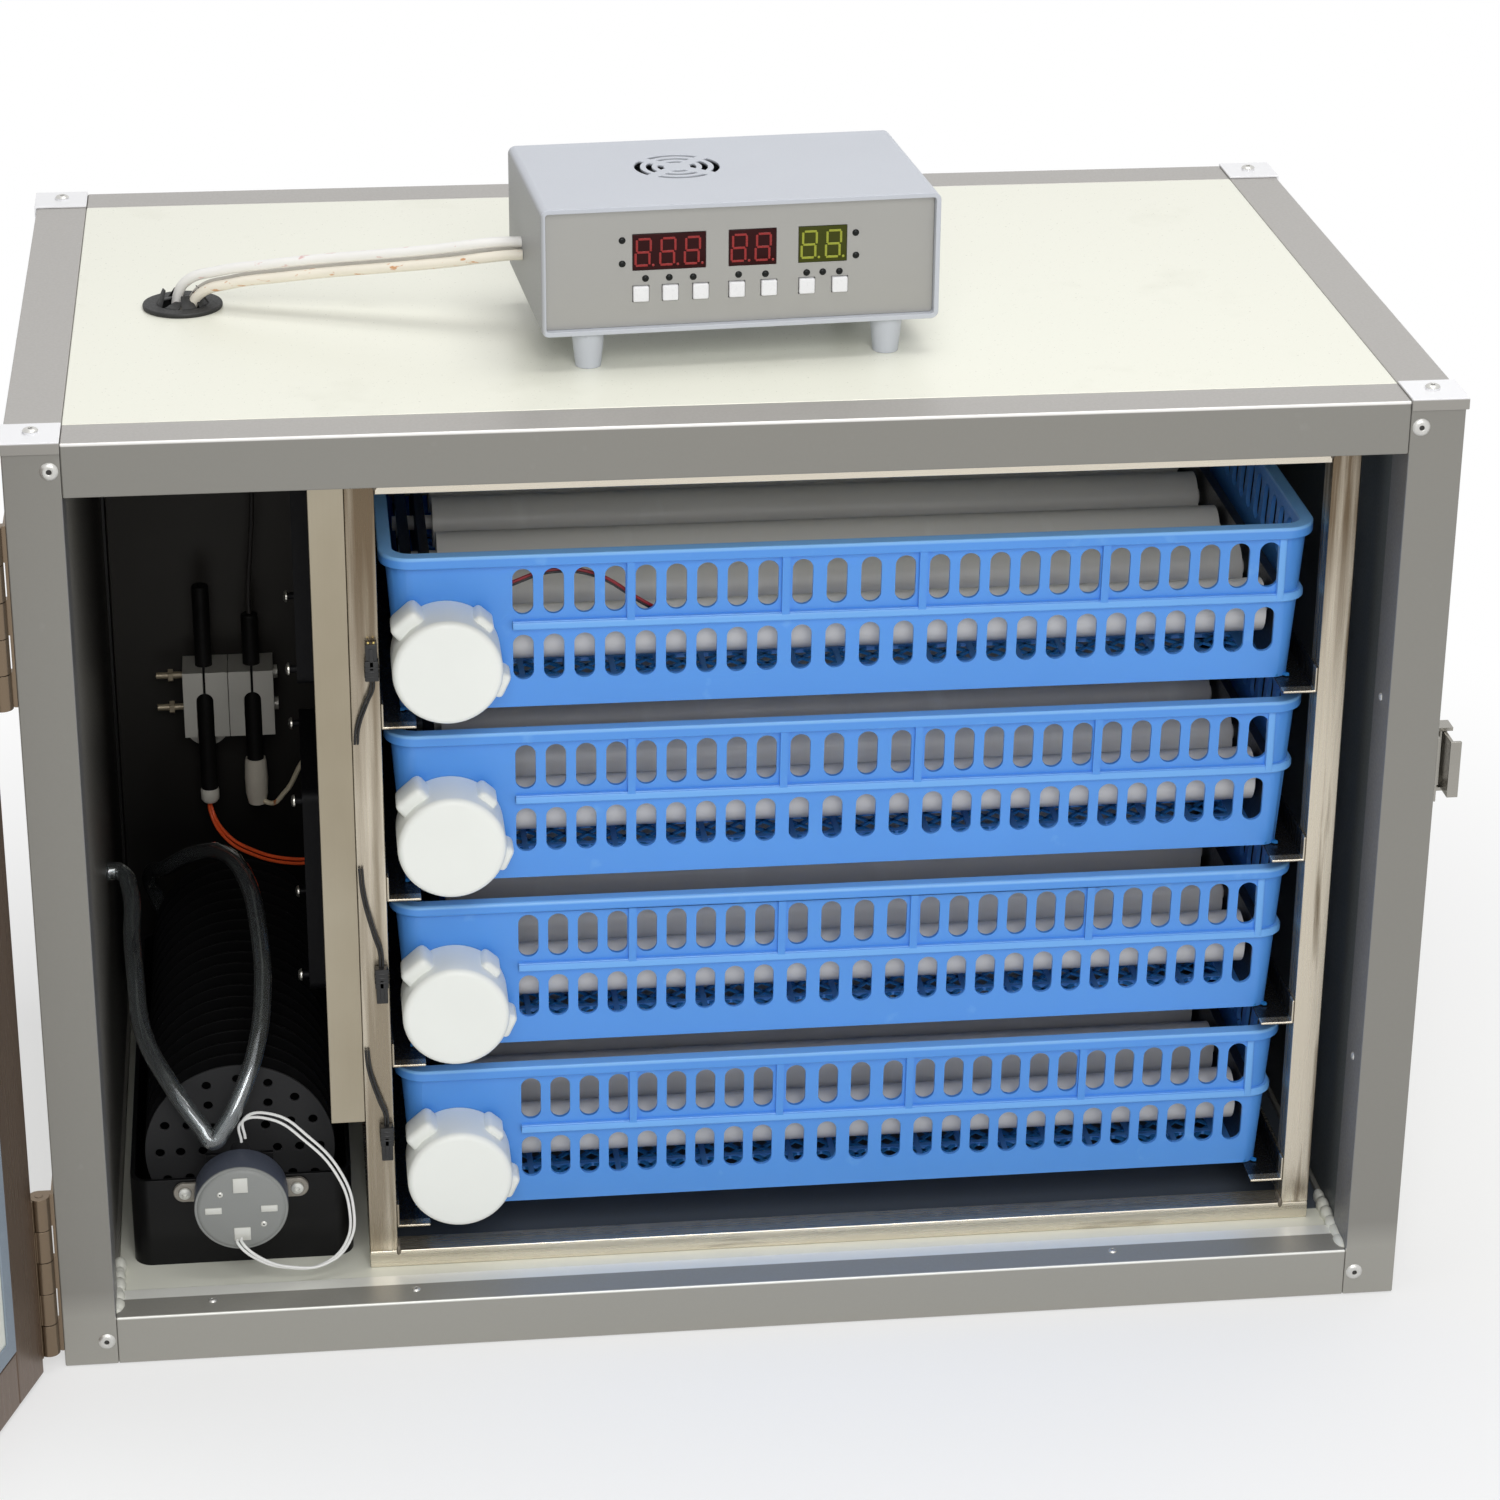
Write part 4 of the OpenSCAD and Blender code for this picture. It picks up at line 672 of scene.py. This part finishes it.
braid_white = finish("glass_braid", tone(222, 214, 198), 0.85, vary=0.1, blotch=80, grain=(900, 900, 420),
                     relief=0.8)
sleeve = bmesh.new()
turned(sleeve, [
    (0.0036, -0.016), (0.0052, -0.0155), (0.0066, -0.009), (0.0069, 0.001), (0.0064, 0.012), (0.0058, 0.014),
    (0.0051, 0.0138), (0.0051, 0.004), (0.0048, -0.008), (0.0036, -0.016),
], (-0.2505, 0.16, 0.168), (0, 0, 1), 32)
piece("braid_sleeve", sleeve, braid_white, "cabinet", "clamp_grey")


# Leads in the bay. A twin orange lead runs from the left rod and a cream one from the right rod, both behind
# the partition. A dark sleeved lead climbs to the roof, and two thin white leads loop from the motor.
def route_line(points, lift, aside=(0, 0, 0)):
    """Places in metres from points in mm: x from the middle, y from the cabinet's face, z above lift."""
    return [(Vector(p) + Vector((0, -215, lift)) + Vector(aside)) / 1000 for p in points]


def round_curve(name, line, d, mat):
    """A smooth round curve through places."""
    curve = bpy.data.curves.new(name, "CURVE")
    curve.dimensions = "3D"
    curve.bevel_depth = d / 2
    curve.bevel_resolution = 4
    curve.resolution_u = 8
    curve.use_fill_caps = True
    spline = curve.splines.new("BEZIER")
    spline.bezier_points.add(len(line) - 1)
    for knot, place in zip(spline.bezier_points, line):
        knot.co = place
        knot.handle_left_type = knot.handle_right_type = "AUTO"
    curve.materials.append(mat)
    obj = bpy.data.objects.new(name, curve)
    bpy.context.scene.collection.objects.link(obj)
    return obj


def fixed_lead(obj, line, d, slot, node, far_end="object", stiffness="limp", lay="hanging", **facts):
    """Puts a lead on the cabinet's body and hides the CAD node it stands for; its route is not used."""
    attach(obj, "cabinet")
    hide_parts(node)


def lead(name, line, d, mat, **facts):
    """A lead of the cabinet's wiring along places."""
    fixed_lead(round_curve(name, line, d, mat), line, d, "lead", "wiring", **facts)


floor_top = 26
left_rod_route = [
    (-278.5, 375, 133), (-278.5, 375, 123), (-270, 364, 110), (-254, 354, 103), (-232, 344, 101),
    (-212, 338, 104), (-198.6, 338, 104),
]
right_rod_route = [
    (-250.5, 375, 145), (-250.5, 375, 136), (-244, 370, 128), (-234, 362, 138), (-222, 350, 164),
    (-210, 340, 182), (-198.6, 340, 182),
]
roof_route = [(-250.5, 375, 249), (-250.5, 375, 260), (-246, 372, 320), (-246, 372, 464)]
motor_route = [
    (-266, 34, 26), (-266, 30, 26), (-256, 27, 17), (-240, 28, 10), (-222, 31, 9), (-209, 35, 19),
    (-206, 39, 38), (-213, 43, 60), (-228, 47, 78), (-246, 52, 90), (-262, 56.5, 86), (-262, 56.5, 74),
]
orange_lead = finish("orange_silicone_lead", tone(255, 98, 46), 0.4, vary=0.06, blotch=90)
cream_lead = finish("cream_braided_lead", tone(238, 226, 196), 0.7, vary=0.08, blotch=120, relief=0.5)
layer(cream_lead, tone(206, 128, 72), patchy(cream_lead, (140, 140, 90), 0.6, 0.66))
dark_sleeve = finish("dark_sleeve", tone(52, 49, 47), 0.55, vary=0.12, blotch=90, relief=0.3)
white_lead = finish("white_lead", tone(236, 236, 234), 0.4, vary=0.04, blotch=90)
for side in (-1, 1):
    lead(
        f"orange_lead_{'lower' if side < 0 else 'upper'}",
        route_line(left_rod_route, floor_top, (0.4 * side, 0.8 * side, 1.0 * side)), 0.0021, orange_lead,
    )
lead("cream_lead", route_line(right_rod_route, floor_top), 0.003, cream_lead)
lead("roof_lead", route_line(roof_route, floor_top), 0.003, dark_sleeve)
lead("motor_lead_outer", route_line(motor_route, floor_top, (0.9, 0, 0.6)), 0.0016, white_lead)
inner_route = [(x, y + 0.4, 26 + (z - 26) * 0.97) for x, y, z in motor_route]
lead("motor_lead_inner", route_line(inner_route, floor_top, (-1.2, 0, -0.4)), 0.0016, white_lead)

# Top tray's lead. A twin lead of copper strands in red and black plastic comes from the turning motor. It lies
# loose in the top basket, between the front wall and the first roller.
tray_lead_route = [
    (-139, 63, 52), (-126, 61, 61), (-111.4, 60, 68.5), (-92.9, 60, 74), (-71.4, 60, 71.3), (-45.8, 60, 54.8),
    (-34, 62, 47),
]
tray_lead_d, top_tray_foot = 0.0017, 344.5
red_lead = finish("red_lead", tone(134, 20, 30), 0.4, vary=0.08, blotch=90)
black_lead = finish("black_lead", tone(24, 24, 25), 0.45, vary=0.12, blotch=90)
for name, mat, side in (("red", red_lead, 0.8), ("black", black_lead, -0.8)):
    tray_line = route_line(tray_lead_route, top_tray_foot, (0, -0.3 * side, side))
    tray_lead = round_curve(f"tray_lead_{name}", tray_line, tray_lead_d, mat)
    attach(tray_lead, "tray_4")

# Tray plugs. Each turning motor's lead ends in a black two-pin plug on the left rack post. The housing is in
# two halves with a latch tongue, brass pins show at its free end, and two thin black leads run along the post.
plug_black = finish("black_plug_plastic", tone(30, 30, 31), 0.4, vary=0.12, blotch=80)
pin_brass = finish("brass_pins", tone(224, 204, 128), 0.25, metal=0.8, vary=0.08, blotch=200)
plug_length = 20
for name, low, start in (("lower", 95, 160), ("middle", 189, 266), ("upper", 372, 336)):
    way = 1 if start < low else -1
    near = (low if way > 0 else low + plug_length) / 1000
    half = Matrix.Translation((-0.186, -0.1783, near)) @ Matrix.Diagonal((1, 1, way, 1))
    housing = bmesh.new()
    block(housing, (-0.0035, -0.003, 0), (0.0035, 0.003, 0.0112), 0.0006, 2, half)
    block(housing, (-0.003, -0.0025, 0.0105), (0.003, 0.0028, 0.02), 0.0005, 2, half)
    block(housing, (-0.0011, -0.003, 0.006), (0.0011, -0.0022, 0.0175), 0.0003, 2, half)
    for rib in (0.002, 0.0045, 0.007):
        block(housing, (-0.0037, -0.0032, rib), (0.0037, 0.0029, rib + 0.0011), 0.0003, 1, half)
    bmesh.ops.recalc_face_normals(housing, faces=housing.faces)
    piece(f"plug_housing_{name}", housing, plug_black, "cabinet", "lead")
    pins = bmesh.new()
    for x in (-0.0014, 0.0014):
        turned(pins, [(0, 0.0007), (0.0006, 0.0006), (0.0008, 0), (0, 0)],
               half @ Vector((x, 0, 0.0199)), (0, 0, way), 12)
    piece(f"plug_pins_{name}", pins, pin_brass, "cabinet", "lead")
    along = (low + 1 if way > 0 else low + plug_length - 1) - start
    plug_route = [
        (-195, 38.4, start), (-194, 37.7, start + 0.25 * along), (-189, 36.7, start + 0.65 * along),
        (-186, 36.7, start + 0.85 * along), (-186, 36.7, start + along),
    ]
    for label, side in (("left", -0.75), ("right", 0.75)):
        lead(f"plug_lead_{name}_{label}", route_line(plug_route, 0, (side, 0, 0)), 0.0013, black_lead)

# Water tube. Clear plastic hose comes through the left wall, hangs in a V in front of the discs and ends in
# the pan.
clear_hose = finish("clear_hose", tone(222, 228, 230), 0.07, vary=0.02, blotch=40, relief=0.02)
for socket, value in (("Transmission Weight", 0.97), ("IOR", 1.42), ("Coat Weight", 1.0)):
    clear_hose.node_tree.nodes["Principled BSDF"].inputs[socket].default_value = value
hose_d = 0.010
hose_line = route_line([
    (-334, 216, 160), (-327, 216, 160), (-321, 202, 154), (-320, 170, 142), (-318, 140, 134),
    (-314, 106, 116), (-300, 72, 102), (-283.5, 53.5, 83.5), (-278, 50, 77.5), (-273, 52, 82.5),
    (-264, 59, 96), (-254, 76, 116), (-249, 104, 136), (-250, 140, 156), (-256, 180, 168), (-268, 220, 166),
    (-286, 256, 150), (-304, 290, 126), (-314, 322, 108), (-314, 346, 84), (-303, 345.5, 56), (-300, 345, 26),
], floor_top)
hose_form = round_curve("hose_form", hose_line, hose_d, clear_hose)
hose_form.data.use_fill_caps = False
bpy.context.view_layer.update()
hose_skin = bpy.data.meshes.new_from_object(hose_form.evaluated_get(bpy.context.evaluated_depsgraph_get()))
around = len(hose_skin.vertices) // ((len(hose_line) - 1) * hose_form.data.resolution_u + 1)
hose_centres = [
    sum((v.co for v in hose_skin.vertices[start:start + around]), Vector()) / around
    for start in range(0, len(hose_skin.vertices), around)
]
bpy.data.objects.remove(hose_form)
hose_skin.shade_smooth()
hose = bpy.data.objects.new("clear_water_hose", hose_skin)
bpy.context.scene.collection.objects.link(hose)
hose_wall = hose.modifiers.new("hose_wall", "SOLIDIFY")
hose_wall.thickness = 0.0012
hose_wall.offset = -1
fixed_lead(hose, hose_centres, hose_d, "clear_tube", "water_tube", stiffness="medium", path=hose_centres)

# Cable outlet. A black rubber grommet lines the hole in the roof. Its slit membrane stands up in flaps round
# three control cables, which run over the roof into the controller's left side.
rubber_black = finish("black_rubber", tone(28, 28, 28), 0.6, vary=0.15, blotch=60, relief=0.2)
dressed("outlet_grommet", "cable_grommet", 0.0008, rubber_black, "cabinet", "grommet_rubber")
flaps = bmesh.new()
outlet_centre, outlet_radius, flap_length = (-0.2755, -0.004, 0.5178), 0.0128, 0.0095
for n, lean in enumerate((62, 15, 48, 20, 70, 10, 35, 55)):
    turn = (
        Matrix.Translation(outlet_centre) @ Matrix.Rotation(n * pi / 4 + 0.3, 4, "Z")
        @ Matrix.Translation((outlet_radius, 0, 0)) @ Matrix.Rotation(radians(lean), 4, "Y")
    )
    flap = block(flaps, (-flap_length, -0.0042, -0.0006), (0, 0.0042, 0.0006), 0.0004, 1, turn)
    tip = turn @ Vector((-flap_length, 0, 0))
    for v in flap:
        near = 1 - 0.75 * max(0.0, min(1.0, 1 - (v.co - tip).length / flap_length))
        middle = turn @ Vector(((turn.inverted() @ v.co).x, 0, 0))
        v.co = middle + (v.co - middle) * near
piece("grommet_flaps", flaps, rubber_black, "cabinet", "grommet_rubber")
roof_top = 516
cable_route = [
    (-274, 211, -20), (-274, 211, 2), (-269, 209, 11), (-252, 203, 18), (-228, 195, 23), (-200, 186, 28),
    (-170, 175, 33), (-140, 165, 38), (-122, 158, 42), (-108, 155, 44),
]
white_cable = finish("white_cable", tone(244, 242, 238), 0.45, vary=0.04, blotch=60)
layer(white_cable, tone(226, 190, 186), patchy(white_cable, (70, 300, 300), 0.64, 0.7))
tracer_cable = finish("cream_tracer_cable", tone(240, 233, 218), 0.5, vary=0.05, blotch=60)
layer(tracer_cable, tone(214, 160, 116), patchy(tracer_cable, (60, 320, 320), 0.62, 0.68))
grey_cable = finish("grey_cable", tone(186, 181, 172), 0.5, vary=0.08, blotch=60)
for name, aside, mat in (
    ("white", (-4, 0, 3.5), white_cable), ("tracer", (3, -5, -2), tracer_cable),
    ("grey", (3, 4.5, -3), grey_cable),
):
    tail = (-99.6 - aside[0], cable_route[-1][1], cable_route[-1][2])
    lead(
        f"control_cable_{name}", route_line(cable_route + [tail], roof_top, aside), 0.0055, mat,
        stiffness="medium", lay="loose",
    )

# Controller case. A moulded shell in silver-grey plastic with a fine spark texture, ring vents in its top and
# four tapered feet. It stands loose on the roof, a few degrees askew.
case_grey = finish("silver_grey_case", tone(196, 200, 208), 0.45, vary=0.03, blotch=20,
                   grain=(1800, 1800, 1800), relief=0.35)
# Painted shade: the inside faces of the case, seen through the vents, are near black.
case_inside_painted_shade = zone(
    case_grey, ("X", -0.075, -0.07), ("X", 0.088, 0.083), ("Y", -0.112, -0.108), ("Y", -0.02, -0.024),
    ("Z", 0.5365, 0.537), ("Z", 0.6004, 0.5996),
)
layer(case_grey, tone(22, 23, 25), case_inside_painted_shade)
# Painted shade: the case's left face is a darker grey.
case_left_painted_shade = zone(case_grey, ("X", -0.0925, -0.0945), ("Z", 0.6, 0.598))
layer(case_grey, tone(150, 151, 152), case_left_painted_shade)
dressed("case_shell", "controller_case", 0.001, case_grey, "cabinet", "case_plastic")

# Controller front. A brushed silver foil covers the recessed panel. It holds three number displays, dark LED
# lenses and seven white push keys.
foil = finish("brushed_foil", tone(168, 167, 163), 0.36, metal=0.35, vary=0.04, blotch=12,
              grain=(14, 1500, 1500), relief=0.06)
dressed("front_foil", "controller_panel", 0.0003, foil, "cabinet", "face_panel")
case_place = Matrix.Translation((0.007, -0.126, 0.535)) @ Matrix.Rotation(radians(4), 4, "Z")
outward = case_place.to_3x3() @ Vector((0, -1, 0))
face_y, display_z = 0.004, 0.041
digit_w, digit_h, bar = 0.007, 0.0136, 0.0012
segments = [
    (0, 0.5, 1, 0), (0, 0, 1, 0), (0, -0.5, 1, 0), (-0.5, 0.25, 0, 1), (0.5, 0.25, 0, 1), (-0.5, -0.25, 0, 1),
    (0.5, -0.25, 0, 1),
]
for label, middle, width, count, dark, lit in (
    ("left", -0.0365, 0.0375, 3, tone(46, 5, 7), tone(146, 24, 22)),
    ("middle", 0.006, 0.0245, 2, tone(46, 5, 7), tone(146, 24, 22)),
    ("right", 0.042, 0.025, 2, tone(62, 66, 14), tone(152, 158, 40)),
):
    window_mat = finish(f"{label}_window", dark, 0.2, vary=0.12, blotch=90, relief=0.02, shine=0.15)
    digit_mat = finish(f"{label}_digits", lit, 0.3, vary=0.05, blotch=200)
    window = bmesh.new()
    block(window, (middle - width / 2 + 0.0002, face_y - 0.0003, display_z - 0.0093),
          (middle + width / 2 - 0.0002, face_y + 0.0007, display_z + 0.0093), 0.0003, 2, case_place)
    piece(f"display_window_{label}", window, window_mat, "cabinet", "face_panel")
    digits = bmesh.new()
    for n in range(count):
        spot = Vector((middle + (n - (count - 1) / 2) * width / count - 0.0008, face_y - 0.0004, display_z))
        for sx, sz, along_x, along_z in segments:
            half = Vector((
                (digit_w / 2 - 0.0004) * along_x + bar / 2 * along_z, 0.0002,
                (digit_h / 4 - 0.0004) * along_z + bar / 2 * along_x,
            ))
            centre = spot + Vector((sx * digit_w + 0.1 * sz * digit_h, 0, sz * digit_h))
            block(digits, centre - half, centre + half, 0.00025, 1, case_place)
        point = spot + Vector((digit_w / 2 + 0.0016, 0.0002, -digit_h / 2))
        turned(digits, [(0, 0.0003), (0.0006, 0.0002), (0.0008, 0), (0, 0)], case_place @ point, outward, 12)
    piece(f"display_digits_{label}", digits, digit_mat, "cabinet", "face_panel")
lens_dark = finish("dark_led_lens", tone(18, 21, 20), 0.25, vary=0.1, blotch=200, relief=0.02, shine=0.2)
lenses = bmesh.new()
for x, z in (
    (-0.0604, 0.0475), (-0.0604, 0.0354), (-0.0486, 0.0273), (-0.0365, 0.0273), (-0.0243, 0.027),
    (-0.0011, 0.027), (0.0127, 0.0267), (0.0339, 0.0263), (0.0422, 0.0263), (0.0508, 0.0262), (0.0589, 0.046),
    (0.0592, 0.0342),
):
    turned(lenses, [(0, 0.0009), (0.0008, 0.0008), (0.0015, 0.0005), (0.0018, 0), (0, 0)],
           case_place @ Vector((x, face_y, z)), outward, 18)
piece("led_lenses", lenses, lens_dark, "cabinet", "face_panel")
key_white = finish("white_key_plastic", tone(238, 238, 240), 0.3, vary=0.03, blotch=150)
for k in range(1, 8):
    dressed(f"key_cap_{k}", f"button_{k}", 0.0007, key_white, f"key_{k}", "key_white", 3)

# Door. Bronze anodised tubes frame a cream insulated board, and a soft grey seal runs round its inner face.
# The door hangs on two butt hinges and is held shut by a toggle latch on the right.
bronze = finish("bronze_anodised", tone(104, 86, 72), 0.3, metal=0.6, vary=0.06, blotch=8,
                grain=(900, 900, 20), relief=0.05)
dressed("door_tubes", "door_frame", 0.0012, bronze, "door", "door_bronze")
door_skin = finish("door_board_skin", tone(228, 231, 222), 0.34, vary=0.03, blotch=3.0, relief=0.03)
dressed("door_board", "door_panel", 0.0008, door_skin, "door", "door_board")
seal_grey = finish("grey_seal_rubber", tone(134, 146, 158), 0.65, vary=0.08, blotch=40, relief=0.3)
dressed("door_gasket", "door_seal", 0.0004, seal_grey, "door", "seal_rubber")
plated_steel = finish("plated_steel", tone(158, 155, 148), 0.22, metal=0.9, vary=0.08, blotch=30)
layer(plated_steel, tone(150, 138, 118), patchy(plated_steel, (60, 60, 40), 0.62, 0.8))
layer(plated_steel, tone(124, 108, 90), band(plated_steel, "X", -0.30, -0.31))
for node, body, name in (
    ("cabinet_fittings", "cabinet", "hinge_and_latch_plates"), ("door_fittings", "door", "door_hinge_leaves"),
    ("latch_lever", "latch", "latch_toggle"),
):
    dressed(name, node, 0.0004, plated_steel, body, "fitting_steel")
hinge_screws = bmesh.new()
for foot in (0.010, 0.380):
    for along in (0.014, 0.0475, 0.081):
        turned(hinge_screws, [
            (0, 0.0006), (0.0011, 0.0006), (0.0012, 0.0012), (0.003, 0.0007), (0.0034, 0), (0, 0),
        ], (-0.3615, -0.2015, foot + along), (-1, 0, 0), 20)
piece("hinge_screws", hinge_screws, screw_bright, "cabinet", "fitting_steel")
